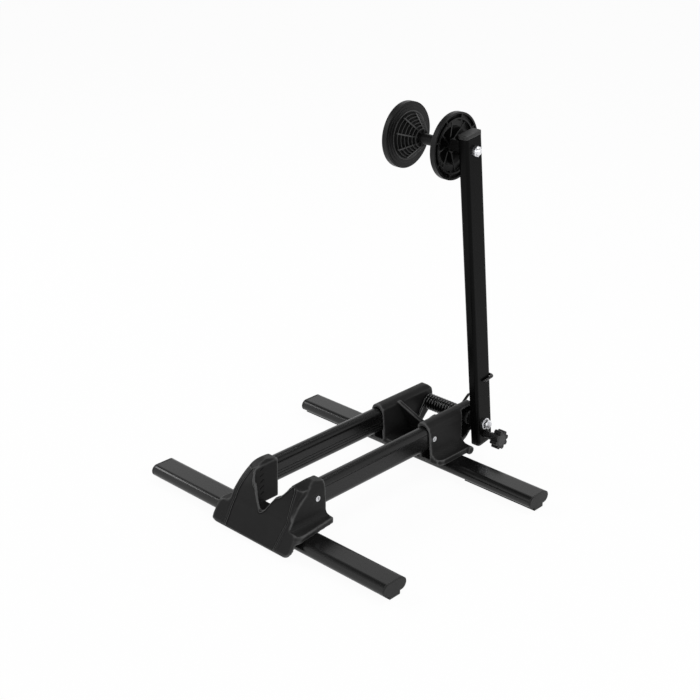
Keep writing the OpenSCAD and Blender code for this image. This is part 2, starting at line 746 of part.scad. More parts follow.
// Torsion spring: a fixed leg, the turns and a leg that rises over the right cheek and hooks round the arm
coil_sides = 6;
coil_rings = 8;
coil_r = (spring_diameter - wire) / 2;
coil_x = slot_half - seat - wire / 2;
fixed_angle = 148;
free_angle = 127;
fixed_leg = 29;
rise = 24;
coil_sweep = 360 * spring_turns - (free_angle - fixed_angle);
coil_steps = spring_turns * coil_rings;
hook_height = 69;
hook_back = arm_width / 2 + wire / 2 + seat;
hook_out = arm_out + wire / 2 + seat;
hook_reach = 17;

function on_coil(a) = [0, coil_r * cos(a), coil_r * sin(a)];
function run(a) = [0, sin(a), -cos(a)];
function in_arm(x, y, z) = [x, y * cos(arm_lean) - z * sin(arm_lean), y * sin(arm_lean) + z * cos(arm_lean)];

coil_start = on_coil(fixed_angle) + [-coil_x, 0, 0];
coil_end = on_coil(free_angle) + [coil_x, 0, 0];
leg_top = coil_end + rise * run(free_angle);
coil_path = concat(
  [coil_start - fixed_leg * run(fixed_angle), coil_start - (fixed_leg - wire) * run(fixed_angle)],
  [for (i = [0 : coil_steps]) on_coil(fixed_angle - coil_sweep * i / coil_steps)
    + [coil_x * (2 * i / coil_steps - 1), 0, 0]]);

// The free leg's route: up behind the cheek's lobe, out, and round the back of the arm
route = [
  coil_end, leg_top,
  [coil_x + wire * 0.4, leg_top[1] + wire / 2, leg_top[2] + wire * 0.7],
  [coil_x + 2 * wire, leg_top[1] + wire * 0.6, leg_top[2] + wire * 1.9],
  in_arm(arm_in - 3 * wire, hook_back + wire / 8, hook_height * 0.52),
  in_arm(arm_in - 1.8 * wire, hook_back, hook_height * 0.72),
  in_arm(arm_in - 0.9 * wire, hook_back, hook_height * 0.9),
  in_arm(arm_in - wire * 0.3, hook_back, hook_height - wire / 4),
  in_arm(arm_in + wire, hook_back, hook_height), in_arm(arm_in + arm_thickness / 2, hook_back, hook_height),
  in_arm(arm_out - wire / 8, hook_back, hook_height), in_arm(hook_out, hook_back - wire * 0.6, hook_height),
  in_arm(hook_out, hook_back - wire * 1.6, hook_height),
  in_arm(hook_out, hook_back - hook_reach, hook_height)];

function spline(a, b, c, d, t) = 0.5 * (2 * b + (c - a) * t + (2 * a - 5 * b + 4 * c - d) * t * t
  + (3 * b - a - 3 * c + d) * t * t * t);
function smooth(points, n) = [for (i = [1 : len(points) - 3], k = [0 : n - 1])
  spline(points[i - 1], points[i], points[i + 1], points[i + 2], k / n)];
leg_ends = concat([2 * route[0] - route[1]], route, [2 * route[len(route) - 1] - route[len(route) - 2]]);
leg_path = smooth(leg_ends, 2);
spring_path = concat(coil_path, [for (i = [1 : len(leg_path) - 1]) leg_path[i]], [route[len(route) - 1]]);

function unit(v) = v / norm(v);
function tangents(p) = [for (i = [0 : len(p) - 1]) unit(p[min(i + 1, len(p) - 1)] - p[max(i - 1, 0)])];
function across(u, t) = unit(u - (u * t) * t);

module wire_tube(path, r) {
  t = tangents(path);
  n = len(path);
  u = [for (i = 0, v = across([1, 0, 0], t[0]); i < n; i = i + 1, v = i < n ? across(v, t[i]) : v) v];
  points = [for (i = [0 : n - 1], k = [0 : coil_sides - 1]) path[i]
    + r * (cos(360 * k / coil_sides) * u[i] + sin(360 * k / coil_sides) * cross(t[i], u[i]))];
  function at(i, k) = i * coil_sides + (k % coil_sides);
  polyhedron(points = points, faces = concat(
    [for (i = [0 : n - 2], k = [0 : coil_sides - 1]) [at(i, k), at(i + 1, k), at(i + 1, k + 1)]],
    [for (i = [0 : n - 2], k = [0 : coil_sides - 1]) [at(i, k), at(i + 1, k + 1), at(i, k + 1)]],
    [for (k = [1 : coil_sides - 2]) [0, k, k + 1]],
    [for (k = [1 : coil_sides - 2]) [at(n - 1, 0), at(n - 1, k + 1), at(n - 1, k)]]));
}

// Least gap between the spring's runs that aren't neighbours
spring_gap = min([for (i = [0 : len(spring_path) - 1]) let(near =
  [for (j = [i + coil_rings / 2 : 1 : len(spring_path) - 1]) norm(spring_path[i] - spring_path[j])])
  len(near) > 0 ? min(near) : spring_diameter]) - wire;
echo(least_gap_of_the_spring = spring_gap);

module torsion_spring() {
  color("#2a2a2c") at_pivot() wire_tube(spring_path, wire / 2);
}

module spring_anchor() {
  tip_point = coil_start - (fixed_leg + seat) * run(fixed_angle);
  translate([0, pivot_y, pivot_z] + tip_point) rotate([fixed_angle - 180, 0, 0])
    translate([-slot_half - tip_point[0] - over, -anchor_size / 2, -anchor_size])
      cube([anchor_width + over, anchor_size, anchor_size]);
}

module spring_sleeve() {
  d = 2 * (coil_r * cos(180 / coil_rings) - wire / 2 - seat);
  color("#3a3a3c") at_pivot() tube_x(d, bolt + 2 * slip, -slot_half + seat, slot_half - seat);
}

// Arm: a rectangular tube, drawn upright with its pivot at the middle and then leaned forward
arm_bore = 12;
arm_bottom_lip = 3;
arm_top_lip = 5;
arm_plug = 14;
cap_round = 2.2;
arm_mid = (arm_in + arm_out) / 2;

module arm_frame() {
  translate([0, pivot_y, pivot_z]) rotate([arm_lean, 0, 0]) children();
}

module arm_section(grow) {
  round_rect(arm_thickness + 2 * grow, arm_width + 2 * grow, max(arm_corner + grow, fit));
}

module tail_round() {
  translate([arm_in - over, 0, 0]) rotate([90, 0, 90]) linear_extrude(arm_thickness + 2 * over) difference() {
    translate([arm_width / 2 - tail_corner, -arm_tail - over])
      square([tail_corner + over, tail_corner + over]);
    translate([arm_width / 2 - tail_corner, tail_corner - arm_tail]) circle(r = tail_corner);
  }
}

module arm_tube() {
  low = arm_bottom_lip - arm_tail;
  high = arm_length + arm_head;
  color("#1d1d1f") arm_frame() difference() {
    translate([arm_mid, 0, low]) linear_extrude(high - low) difference() {
      arm_section(0);
      arm_section(-arm_wall);
    }
    tail_round();
    rod_x(arm_bore, arm_in - over, arm_out + over);
    translate([0, 0, arm_length]) rod_x(bolt + 2 * fit, arm_in - over, arm_out + over);
    translate([0, 0, -knob_drop]) rod_x(insert_diameter, arm_in - over, arm_out + over);
  }
}

module round_top(w, h, r) {
  translate([-w / 2, 0]) square([w, h - r]);
  translate([r - w / 2, 0]) square([w - 2 * r, h]);
  for (s = [-1, 1]) translate([s * (w / 2 - r), h - r]) circle(r = r);
}

module arm_top_cap() {
  w = arm_thickness + 2 * fit;
  h = arm_width + 2 * fit;
  color("#4a4a4d") arm_frame() translate([arm_mid, 0, arm_length + arm_head]) {
    intersection() {
      linear_extrude(arm_top_lip) arm_section(fit);
      along_x(-w, w) round_top(h, arm_top_lip, cap_round);
      along_y(-h, h) round_top(w, arm_top_lip, cap_round);
    }
    translate([0, 0, -arm_plug]) linear_extrude(arm_plug + arm_top_lip / 2) difference() {
      arm_section(-arm_wall - fit);
      arm_section(-2 * arm_wall - fit);
    }
  }
}

module arm_bottom_cap() {
  color("#262628") arm_frame() difference() {
    translate([arm_mid, 0, -arm_tail]) {
      linear_extrude(arm_bottom_lip) arm_section(0);
      linear_extrude(arm_bottom_lip + arm_wall) arm_section(-arm_wall - fit);
    }
    tail_round();
  }
}

module arm_bush() {
  color("#303032") arm_frame() tube_x(arm_bore - 2 * slip, bolt + 2 * slip, arm_in, arm_out - seat);
}

// Roller: two hollow stepped cones back to back on an axle bolt
half_roller = roller_width / 2;
rim_r = cone_diameter / 2;
step_r = rim_r - rim_flat;
neck_r = neck_diameter / 2;
hub_r = 9;
hub_set = 6;
bush_r = 6;
bush_length = 18;
bore_r = 4.5;
cone_end = half_roller - neck_length;
rim_steps = 3;
rim_rise = 0.8;
cone_start = rim_band + rim_steps * rim_rise;
end_r = neck_r + cone_wall;
fin = 1.8;
fin_rise = 1;
ring_width = 2;
ring_share = 0.83;
ring_set = 0.6;
rib_reach = 4;
gusset_set = 3;

function lerp(a, b, t) = a + (b - a) * t;

// A revolved [radius, x] outline round the axle
module revolve_x(points) {
  rotate([90, 0, 90]) rotate_extrude() polygon(points);
}

module in_plane_of_radius(points, width, turn) {
  rotate([turn, 0, 0]) rotate([90, 0, 0]) linear_extrude(width, center = true)
    polygon([for (p = points) [p[1], p[0]]]);
}

// The left cone, with a = 0 on its outer face and a growing towards the middle
module cone_half() {
  ring_r = rim_r * ring_share;
  rim_rows = [for (i = [1 : rim_steps], k = [0, 1])
    [lerp(rim_r, step_r, i / (rim_steps + 1)), rim_band + (i - 1 + k) * rim_rise]];
  steps = [for (i = [0 : cone_steps - 1], k = [0, 1])
    [lerp(step_r, end_r, i / cone_steps), lerp(cone_start, cone_end, (i + k) / cone_steps)]];
  inner_end = cone_end - 2 * cone_wall;
  difference() {
    union() {
      revolve_x(concat(
        [[rim_r - cone_wall, 0], [rim_r, 0], [rim_r, rim_band]], rim_rows, steps,
        [[neck_r, cone_end], [neck_r, half_roller], [bore_r, half_roller],
         [bore_r, hub_set], [hub_r, hub_set], [hub_r, inner_end - hub_r / 2],
         [step_r - cone_wall, rim_band - cone_wall / 2], [rim_r - cone_wall, rim_band - cone_wall]]));
      // Fins over the steps
      for (i = [0 : cone_fins - 1]) in_plane_of_radius([[step_r + fin_rise, cone_start - fin_rise],
        [step_r + fin_rise, cone_start + (cone_end - cone_start) / cone_steps],
        [end_r + fin_rise, cone_end + fin_rise], [neck_r - fin_rise, cone_end + fin_rise],
        [neck_r - fin_rise, inner_end + fin_rise]], fin, 360 * (i + 1 / 2) / cone_fins);
      // Ring and short ribs inside the rim, and gussets from the ring to the hub
      revolve_x([[ring_r - ring_width, ring_set], [ring_r, ring_set], [ring_r, rim_band],
        [ring_r - ring_width, rim_band]]);
      for (i = [0 : cone_fins - 1]) {
        in_plane_of_radius([[ring_r - rib_reach, ring_set], [rim_r - cone_wall / 2, ring_set],
          [rim_r - cone_wall / 2, rim_band - cone_wall / 2], [ring_r - rib_reach, rim_band]],
          fin, 360 * (i + 1 / 2) / cone_fins);
        in_plane_of_radius([[hub_r - fin_rise, hub_set + gusset_set],
          [ring_r - ring_width / 2, ring_set + gusset_set],
          [ring_r - ring_width / 2, rim_band], [step_r - cone_wall + fin_rise, rim_band],
          [hub_r - fin_rise, inner_end - hub_r / 2 + fin_rise]], fin, 360 * i / cone_fins);
      }
    }
    rod_x(2 * bush_r, hub_set - over, hub_set + bush_length);
  }
}

module at_axle() {
  arm_frame() translate([0, 0, arm_length]) children();
}

module left_cone() {
  color("#232325") at_axle() translate([-half_roller, 0, 0]) cone_half();
}

module right_cone() {
  color("#232325") at_axle() mirror([1, 0, 0]) translate([-half_roller, 0, 0]) cone_half();
}

module cone_bushes() {
  color("#3a3a3c") at_axle() both_sides()
    tube_x(2 * bush_r - 2 * slip, bolt + 2 * slip,
      half_roller - hub_set - bush_length + slip, half_roller - hub_set);
}

// The axle bolt's smaller head, the cap nut's skirt and dome, and the spacer's thinner wall
head_less = 1.6;
skirt_share = 0.7;
dome_share = 0.46;
spacer_less = 3;

module axle_bolt() {
  head = half_roller - hub_set + seat;
  flats = nut_flats - head_less;
  color("#b9bcc0") at_axle() {
    rod_x(bolt, -head, arm_out + nut_height / 2);
    hexagon_x(flats, -head - head_height, -head);
  }
}

module axle_nut() {
  skirt = nut_height * skirt_share;
  dome_r = nut_flats * dome_share;
  color("#c4c7cb") at_axle() difference() {
    union() {
      hexagon_x(nut_flats, arm_out, arm_out + skirt);
      translate([arm_out, 0, 0]) rotate([0, 90, 0]) rotate_extrude() intersection() {
        translate([0, skirt - dome_r / 4]) circle(r = dome_r);
        translate([0, skirt / 2]) square([dome_r, 2 * dome_r]);
      }
    }
    rod_x(bolt, arm_out - over, arm_out + nut_height / 2 + slip);
  }
}

module axle_spacer() {
  color("#303032") at_axle()
    tube_x(2 * hub_r - spacer_less, bolt + 2 * slip, half_roller - hub_set + seat, arm_in);
}

// Knob: a lobed head on a stud, screwed through the arm's lower end towards the lobe
insert_diameter = 10;
insert_lip = 1;
knob_gap = 0.8;
knob_washer_thickness = 1.2;
knob_neck_diameter = 11;
knob_tail_diameter = 8.6;
knob_tail_share = 0.45;
knob_x0 = arm_out + insert_lip + knob_gap;
knob_x1 = knob_x0 + knob_washer_thickness + seat;
knob_x2 = knob_x1 + knob_neck;
knob_x3 = knob_x2 + knob_width;
lobe_share = 0.24;
disc_share = 0.56;
disc_thickness = 1.2;
stud_gap = 0.8;

module at_knob() {
  arm_frame() translate([0, 0, -knob_drop]) children();
}

module knob_insert() {
  color("#8d9096") at_knob() {
    tube_x(insert_diameter - 2 * slip, stud + 2 * slip, arm_in, arm_out);
    tube_x(insert_diameter + 2 * insert_lip, stud + 2 * slip, arm_out, arm_out + insert_lip);
  }
}

module knob_washer() {
  color("#9a9da2") at_knob()
    tube_x(knob_neck_diameter, stud + 2 * slip, knob_x0, knob_x0 + knob_washer_thickness);
}

module knob_grip() {
  r = knob_diameter / 2;
  lobe_r = r * lobe_share;
  color("#2b2b2d") at_knob() difference() {
    union() {
      rod_x(knob_tail_diameter, knob_x1, knob_x2);
      rod_x(knob_neck_diameter, knob_x1 + knob_neck * knob_tail_share, knob_x2 + over);
      translate([knob_x2, 0, 0]) rotate([90, 0, 90]) linear_extrude(knob_width) {
        circle(r = r - lobe_r);
        for (i = [0 : knob_lobes - 1]) rotate(360 * i / knob_lobes)
          translate([r - lobe_r, 0]) circle(r = lobe_r);
      }
    }
    rod_x(stud, knob_x1 - over, knob_x3 - 3 * disc_thickness);
    rod_x(knob_diameter * disc_share + 2 * fit, knob_x3 - disc_thickness, knob_x3 + over);
  }
}

module knob_stud() {
  color("#b9bcc0") at_knob() rod_x(stud, lobe_out + stud_gap, knob_x3 - 3 * disc_thickness);
}

module knob_disc() {
  color("#3c3c3f") at_knob() rod_x(knob_diameter * disc_share, knob_x3 - disc_thickness, knob_x3);
}

module front_foot_tube() { color("#1b1b1d") foot_tube(front_y); }
module rear_foot_tube() { color("#1b1b1d") foot_tube(rear_y); }
module front_foot_caps() { color("#2e2e30") foot_caps(front_y); }
module rear_foot_caps() { color("#2e2e30") foot_caps(rear_y); }
module front_foot_pads() { color("#161616") foot_pads(front_y); }
module rear_foot_pads() { color("#161616") foot_pads(rear_y); }
module front_foot_screws() { color("#b9bcc0") foot_screws(front_y); }
module rear_foot_screws() { color("#b9bcc0") foot_screws(rear_y); }
module right_rail() { color("#1d1d1f") rail(); }
module left_rail() { color("#1d1d1f") mirror([1, 0, 0]) rail(); }
module front_rail_screws() { color("#d0d2d5") rail_screws(cradle_y1 - screw_inset); }
module rear_rail_screws() { color("#d0d2d5") rail_screws(bracket_y0 + rear_screw_inset); }

front_foot_tube();
rear_foot_tube();
front_foot_caps();
rear_foot_caps();
front_foot_pads();
rear_foot_pads();
left_rail();
right_rail();
front_cradle();
rear_bracket();
front_rail_screws();
rear_rail_screws();
front_foot_screws();
rear_foot_screws();
pivot_bolt();
pivot_nut();
pivot_washer();
cheek_bushes();
pivot_spacer();
spring_sleeve();
torsion_spring();
arm_tube();
arm_top_cap();
arm_bottom_cap();
arm_bush();
axle_bolt();
axle_nut();
axle_spacer();
knob_insert();
left_cone();
right_cone();
cone_bushes();
knob_washer();
knob_grip();
knob_stud();
knob_disc();
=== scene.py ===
# %% [markdown]
# # A floor bike rack in Blender
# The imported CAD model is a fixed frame: two flat-oval feet, two rails, a cradle moulding in front, a
# bracket moulding behind, and a sprung arm that carries a roller of two stepped cones. Each cell below adds
# one thing to that frame: the camera, the finishes, the pieces that a solid model only hints at, and the
# light.

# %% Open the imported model
import json
import math
import bpy
import numpy as np
from mathutils import Matrix


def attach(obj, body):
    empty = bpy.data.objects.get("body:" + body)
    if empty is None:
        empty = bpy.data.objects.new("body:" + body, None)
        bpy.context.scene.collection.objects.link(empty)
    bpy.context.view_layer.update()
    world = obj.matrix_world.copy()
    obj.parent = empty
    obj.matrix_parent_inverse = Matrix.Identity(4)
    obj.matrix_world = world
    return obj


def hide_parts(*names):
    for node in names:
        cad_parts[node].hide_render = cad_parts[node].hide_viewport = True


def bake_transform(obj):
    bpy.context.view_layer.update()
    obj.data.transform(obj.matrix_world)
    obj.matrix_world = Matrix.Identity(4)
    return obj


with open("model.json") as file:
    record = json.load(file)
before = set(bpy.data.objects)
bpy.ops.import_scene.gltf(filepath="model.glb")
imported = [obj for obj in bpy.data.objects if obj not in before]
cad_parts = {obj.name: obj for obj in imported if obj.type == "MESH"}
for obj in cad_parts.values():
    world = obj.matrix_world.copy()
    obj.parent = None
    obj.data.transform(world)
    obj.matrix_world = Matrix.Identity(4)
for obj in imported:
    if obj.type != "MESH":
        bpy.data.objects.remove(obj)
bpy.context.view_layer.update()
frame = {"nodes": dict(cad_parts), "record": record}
nodes = frame["nodes"]
scene = bpy.context.scene

# %% [markdown]
# ## Camera
# The photograph was taken with a long lens from above and from the right. A constraint could aim a camera
# at a target, but that leaves its roll open. Here it is a place and three directions: right, up and back.
# They follow from an azimuth, an elevation and a small roll, which a photographer sets on a tripod head.

# %% Camera
CAMERA_AT = (1.04735, -1.16202, 0.87678)
AZIMUTH, ELEVATION, ROLL = (math.radians(angle) for angle in (42.5, 23.449, 1.079))
LENS, SENSOR = 68.8, 36.0


def camera_axes(azimuth, elevation, roll):
    """Columns right, up and back: back points from object to camera, and the roll turns the other two."""
    back = np.array([math.sin(azimuth) * math.cos(elevation), -math.cos(azimuth) * math.cos(elevation),
                     math.sin(elevation)])
    right = np.array([math.cos(azimuth), math.sin(azimuth), 0.0])
    up = np.cross(back, right)
    return np.stack([math.cos(roll) * right + math.sin(roll) * up,
                     math.cos(roll) * up - math.sin(roll) * right, back], axis=1)


def as_matrix(axes, place):
    """A 4x4 matrix from three axis columns and a place."""
    rows = np.eye(4)
    rows[:3, :3], rows[:3, 3] = axes, place
    return Matrix(rows.tolist())


lens_data = bpy.data.cameras.new("camera")
lens_data.lens, lens_data.sensor_width = LENS, SENSOR
camera = bpy.data.objects.new("camera", lens_data)
scene.collection.objects.link(camera)
camera.matrix_world = as_matrix(camera_axes(AZIMUTH, ELEVATION, ROLL), CAMERA_AT)
scene.camera = camera
scene.view_settings.view_transform = "Standard"
print("camera", round(math.dist(CAMERA_AT, (0, 0, 0)), 3), "m from the origin")

# %% [markdown]
# ## Writing shaders as sums
# A material is a small program drawn as nodes. It could be drawn by hand, one link at a time. The class
# below wraps one output socket instead, so that `1 - mask * 0.4` adds the Math nodes for us and reads like
# its formula. Colours and directions go through node(), which adds any other kind of node.

# %% A socket that can be added and multiplied


class Wire:
    """An output socket of a material, with Python's operators standing for Math nodes."""

    def __init__(self, tree, socket=None):
        self.tree, self.socket = tree, socket

    def node(self, kind, sockets=None, output=0, **settings):
        """Adds a node: its settings are set first, then its inputs, as values or as wires."""
        made = self.tree.nodes.new(kind)
        for name, value in settings.items():
            setattr(made, name, value)
        for key, value in (sockets or {}).items():
            if isinstance(value, Wire):
                self.tree.links.new(value.socket, made.inputs[key])
            else:
                made.inputs[key].default_value = value
        return Wire(self.tree, made.outputs[output])

    def maths(self, operation, *values):
        """A Math node on values or wires."""
        return self.node("ShaderNodeMath", dict(enumerate(values)), operation=operation)

    def __add__(self, other):
        return self.maths("ADD", self, other)

    def __mul__(self, other):
        return self.maths("MULTIPLY", self, other)

    def __sub__(self, other):
        return self.maths("SUBTRACT", self, other)

    def __rsub__(self, other):
        return self.maths("SUBTRACT", other, self)

    def __abs__(self):
        return self.maths("ABSOLUTE", self)

    __radd__, __rmul__ = __add__, __mul__

    def within(self, low, high):
        """0 below low, 1 above high and a smooth step between."""
        return self.node("ShaderNodeMapRange", {"Value": self, "From Min": low, "From Max": high},
                         interpolation_type="SMOOTHSTEP")

    def capped(self):
        """This value, and 1 where it is more."""
        return self.maths("MINIMUM", self, 1.0)

    def mixed(self, other, share):
        """share times this value plus the rest of 1 times the other."""
        return self * share + other * (1 - share)

    def sway(self, amount):
        """(value - 1/2) amount: noise as a change that goes up as often as down."""
        return (self - 0.5) * amount


print("a Wire adds, subtracts and multiplies")

# %% [markdown]
# ## Patterns that every finish shares
# Real black parts are never one black. Mould texture, draw lines, dust and paler edges each change the
# colour, the gloss or the height a little; the paler edges are partly rubbed wear and partly a painted
# highlight. Painted pictures could show that, but they blur when the camera comes close. Noise on Object
# coordinates doesn't, and a grain of half a millimetre is that on every piece.

# %% Patterns
# One millimetre in metres: the finishes below give their sizes in millimetres
MM = 0.001
BEVEL_SAMPLES = 4
# One minus the cosine of an edge's turn, where the edge starts to show and where it shows in full
EDGE_FROM, EDGE_FULL = 0.01, 0.25


def new_finish(name):
    """A fresh material, its Principled shader and a Wire to start from."""
    made = bpy.data.materials.new(name)
    made.use_nodes = True
    shader = made.node_tree.nodes["Principled BSDF"]
    return made, shader, Wire(made.node_tree)


def specks(start, size, detail, stretch=(1, 1, 1)):
    """Noise from 0 to 1 on Object coordinates: features of a size in mm, and detail octaves of finer ones."""
    here = start.node("ShaderNodeTexCoord", output="Object")
    stretched = start.node("ShaderNodeMapping", {"Vector": here, "Scale": stretch})
    return start.node("ShaderNodeTexNoise", {"Vector": stretched, "Scale": 1 / (size * MM), "Detail": detail})


def soft_edge(start, radius):
    """The surface's direction as if its edges were rounded by a radius in millimetres."""
    return start.node("ShaderNodeBevel", {"Radius": radius * MM}, samples=BEVEL_SAMPLES)


def edge_mask(start, radius):
    """1 along sharp edges and 0 on flat faces, from 1 - n . m with n the true and m the rounded direction."""
    true = start.node("ShaderNodeNewGeometry", output="Normal")
    along = start.node("ShaderNodeVectorMath", {0: soft_edge(start, radius), 1: true}, output="Value",
                       operation="DOT_PRODUCT")
    return (1 - along).within(EDGE_FROM, EDGE_FULL)


edge_turn = math.degrees(math.acos(1 - EDGE_FROM))
print("an edge shows where the direction turns by", round(edge_turn, 1), "degrees")

# %% Colours, and joining them to the shader


def as_colour(tone):
    """A grey, or red, green and blue, as a full colour. A wire stays as it is."""
    if isinstance(tone, Wire):
        return tone
    return (*tone, 1) if isinstance(tone, tuple) else (tone, tone, tone, 1)


def blend_colours(start, factor, first, second):
    """first + factor (second - first). A Mix node's colours are its sockets 6 and 7, and its output 2."""
    sockets = {"Factor": factor, 6: as_colour(first), 7: as_colour(second)}
    return start.node("ShaderNodeMix", sockets, output=2, data_type="RGBA")


def shades(start, pattern, grey, dark, pale):
    """A grey that a pattern takes from dark times to pale times itself."""
    return blend_colours(start, pattern, grey * dark, grey * pale)


def finish_with(start, shader, colour, roughness, height, depth, rounding=None, level=0.5):
    """Joins colour, roughness and a pattern's height to the shader, and sets its share of mirrored light.

    depth is how high the pattern stands. rounding softens the edges, where the mesh doesn't do so itself.
    """
    sockets = {"Height": height, "Distance": depth * MM}
    if rounding:
        sockets["Normal"] = soft_edge(start, rounding)
    bump = start.node("ShaderNodeBump", sockets)
    for name, value in (("Base Color", colour), ("Roughness", roughness), ("Normal", bump)):
        start.tree.links.new(value.socket, shader.inputs[name])
    shader.inputs["Specular IOR Level"].default_value = level


print("a grey of a half is the colour", as_colour(0.5))

# %% [markdown]
# ## Powder coat and drawn tube
# The feet, the rails and the arm are steel tubes with a black coat. Drawing a tube leaves lines along it,
# the coat dries with a skin like orange peel, and handling pales its edges. The paler edges also stand in
# for the highlights along the tubes' corners, painted into the colour, most of all on the arm. A plain
# glossy black shows none of that, so one function makes them all, with its lines along the tube's own
# axis. Every grey is a linear value.

# %% Painted tubes
# Sizes of the features, and the height of the orange peel
DRAW_LINE, ORANGE_PEEL, PAINT_CLOUD, PAINT_DUST, PAINT_EDGE, PEEL_DEPTH = 1.2, 1.6, 50.0, 0.9, 1.1, 0.01
# A draw line's width over its length, and the noise above which a speck is dust
LINE_STRETCH, DUST_FROM, DUST_FULL = 0.012, 0.72, 0.78
# The grey's darkest and palest share, the cloud's part in it, and how far an edge pales with wear and painted
# highlight
PAINT_DARK, PAINT_PALE, PAINT_CLOUD_SHARE, PAINT_WEAR_AND_HIGHLIGHT = 0.75, 1.35, 0.6, 0.7
# What cloud, lines and dust do to the roughness, and the parts of peel and lines in the height
PAINT_SWAY, DUST_DULLS, PEEL_HEIGHT, LINE_HEIGHT = 0.1, 0.12, 0.7, 0.5


def painted(name, grey, rough, along, rounding, level, wear_and_highlight_grey):
    """Coated tube: fine draw lines along one axis, an orange-peel skin, dust specks, and paler edges that are
    wear and a painted highlight.

    roughness = rough + sway (cloud - 1/2) + sway (lines - 1/2) + dulling dust
    """
    made, shader, start = new_finish(name)
    stretch = tuple(LINE_STRETCH if axis == along else 1.0 for axis in "xyz")
    lines = specks(start, DRAW_LINE, detail=3, stretch=stretch)
    peel = specks(start, ORANGE_PEEL, detail=1)
    cloud = specks(start, PAINT_CLOUD, detail=3)
    dust = specks(start, PAINT_DUST, detail=0).within(DUST_FROM, DUST_FULL)
    edge = edge_mask(start, PAINT_EDGE)
    tone = shades(start, cloud.mixed(dust, PAINT_CLOUD_SHARE), grey, PAINT_DARK, PAINT_PALE)
    # Paler edges: partly rubbed wear, partly a painted highlight
    tone = blend_colours(start, edge * PAINT_WEAR_AND_HIGHLIGHT, tone, wear_and_highlight_grey)
    gloss = rough + cloud.sway(PAINT_SWAY) + lines.sway(PAINT_SWAY) + dust * DUST_DULLS
    height = peel * PEEL_HEIGHT + lines * LINE_HEIGHT
    finish_with(start, shader, tone, gloss, height, PEEL_DEPTH, rounding, level)
    return made


print("draw lines", DRAW_LINE, "mm wide and", round(DRAW_LINE / LINE_STRETCH), "mm long")

# %% [markdown]
# ## Moulded plastic
# Caps, knob and bushes are injection mouldings. Their mould is spark-eroded, which leaves an even grain
# that scatters the light, and edges are rubbed smoother and paler in use; the paler edges are also a painted
# highlight. The grain could be real geometry, but at half a millimetre a bump looks the same and costs
# nothing.

# %% Moulded plastic
PLASTIC_CLOUD, PLASTIC_EDGE = 35.0, 1.2
# The grey's darkest and palest share, the cloud's part in it, and how far an edge pales with wear and painted
# highlight
PLASTIC_DARK, PLASTIC_PALE, PLASTIC_CLOUD_SHARE, PLASTIC_WEAR_AND_HIGHLIGHT = 0.72, 1.4, 0.7, 0.85
# What the cloud, the grain and rubbing do to the roughness
CLOUD_SWAY, GRAIN_SWAY, RUB_POLISH = 0.16, 0.1, 0.08


def grained(start, grey, grain, cloud_size):
    """The grain, a slow cloud, and the grey that both mottle."""
    sparks, cloud = specks(start, grain, detail=3), specks(start, cloud_size, detail=4)
    mottle = cloud.mixed(sparks, PLASTIC_CLOUD_SHARE)
    return sparks, cloud, shades(start, mottle, grey, PLASTIC_DARK, PLASTIC_PALE)


def moulded(name, grey, rough, grain, depth, rounding, level, wear_and_highlight_grey=0.03):
    """Injection-moulded plastic: a spark-eroded grain, slow changes of gloss, and edges rubbed smoother and
    paler, the pale part also a painted highlight.

    roughness = rough + sway (cloud - 1/2) - polish edge + sway (grain - 1/2)
    """
    made, shader, start = new_finish(name)
    sparks, cloud, tone = grained(start, grey, grain, PLASTIC_CLOUD)
    edge = edge_mask(start, PLASTIC_EDGE)
    # Paler edges: partly rubbed wear, partly a painted highlight
    tone = blend_colours(start, edge * PLASTIC_WEAR_AND_HIGHLIGHT, tone, wear_and_highlight_grey)
    gloss = rough + cloud.sway(CLOUD_SWAY) - edge * RUB_POLISH + sparks.sway(GRAIN_SWAY)
    finish_with(start, shader, tone, gloss, sparks, depth, rounding, level)
    return made


print("plastic from", PLASTIC_DARK, "to", PLASTIC_PALE, "times its grey")

# %% [markdown]
# ## The roller's rings and fins
# A roller's cone isn't solid: rings and fins leave it light and stiff, and only their outer edges lie on
# the cone. Those edges catch the light, and the gaps between them are dark. An Ambient Occlusion node could
# darken the gaps, but it costs time in every render. So both are painted into the colour here, a painted
# highlight on the edges and painted shade in the gaps, by a formula: the depth of a point under the
# straight line that the rings' edges touch.

# %% Where the rings' edges lie
cone_points = np.array([corner.co for name in ("left_cone", "right_cone")
                        for corner in nodes[name].data.vertices])
lowest, highest = cone_points.min(axis=0), cone_points.max(axis=0)
ROLLER, HALF_ROLLER = (lowest + highest) / 2, (highest[0] - lowest[0]) / 2
# Millimetres: the rim's flat face, where the rings start, the last ring's radius and the neck's length
RIM_FLAT, RINGS_START, END_RING, NECK_LENGTH = 15.0, 9.4, 9.4, 12.5
CONE_STEPS = 6
STEP_RADIUS = (highest[2] - lowest[2]) / 2 - RIM_FLAT * MM
WEB_START, WEB_END = RINGS_START * MM, HALF_ROLLER - NECK_LENGTH * MM
WEB_SLOPE = (END_RING * MM - STEP_RADIUS) / (WEB_END - WEB_START)
WEB_RADIUS = STEP_RADIUS - WEB_SLOPE * (WEB_END - WEB_START) / CONE_STEPS
print("roller at", np.round(ROLLER, 4), "rings' slope", round(WEB_SLOPE, 3))

# %% Plastic with rings and fins
WEB_GRAIN, WEB_CLOUD, WEB_EDGE, WEB_GRAIN_DEPTH, WEB_ROUNDING, WEB_LEVEL = 0.5, 30.0, 1.0, 0.006, 0.4, 0.22
# Metres over which the pattern fades in at the rim and out at the neck
FADE_IN, FADE_OUT = 0.6 * MM, 2.0 * MM
# Depths in metres, below the line, between which a point turns from gap to edge
EDGE_DEPTHS, GAP_DEPTHS = (-1.0 * MM, -0.2 * MM), (-2.0 * MM, -0.8 * MM)
SHARP_EDGE_SHARE, GAP_DULLS = 0.35, 0.3


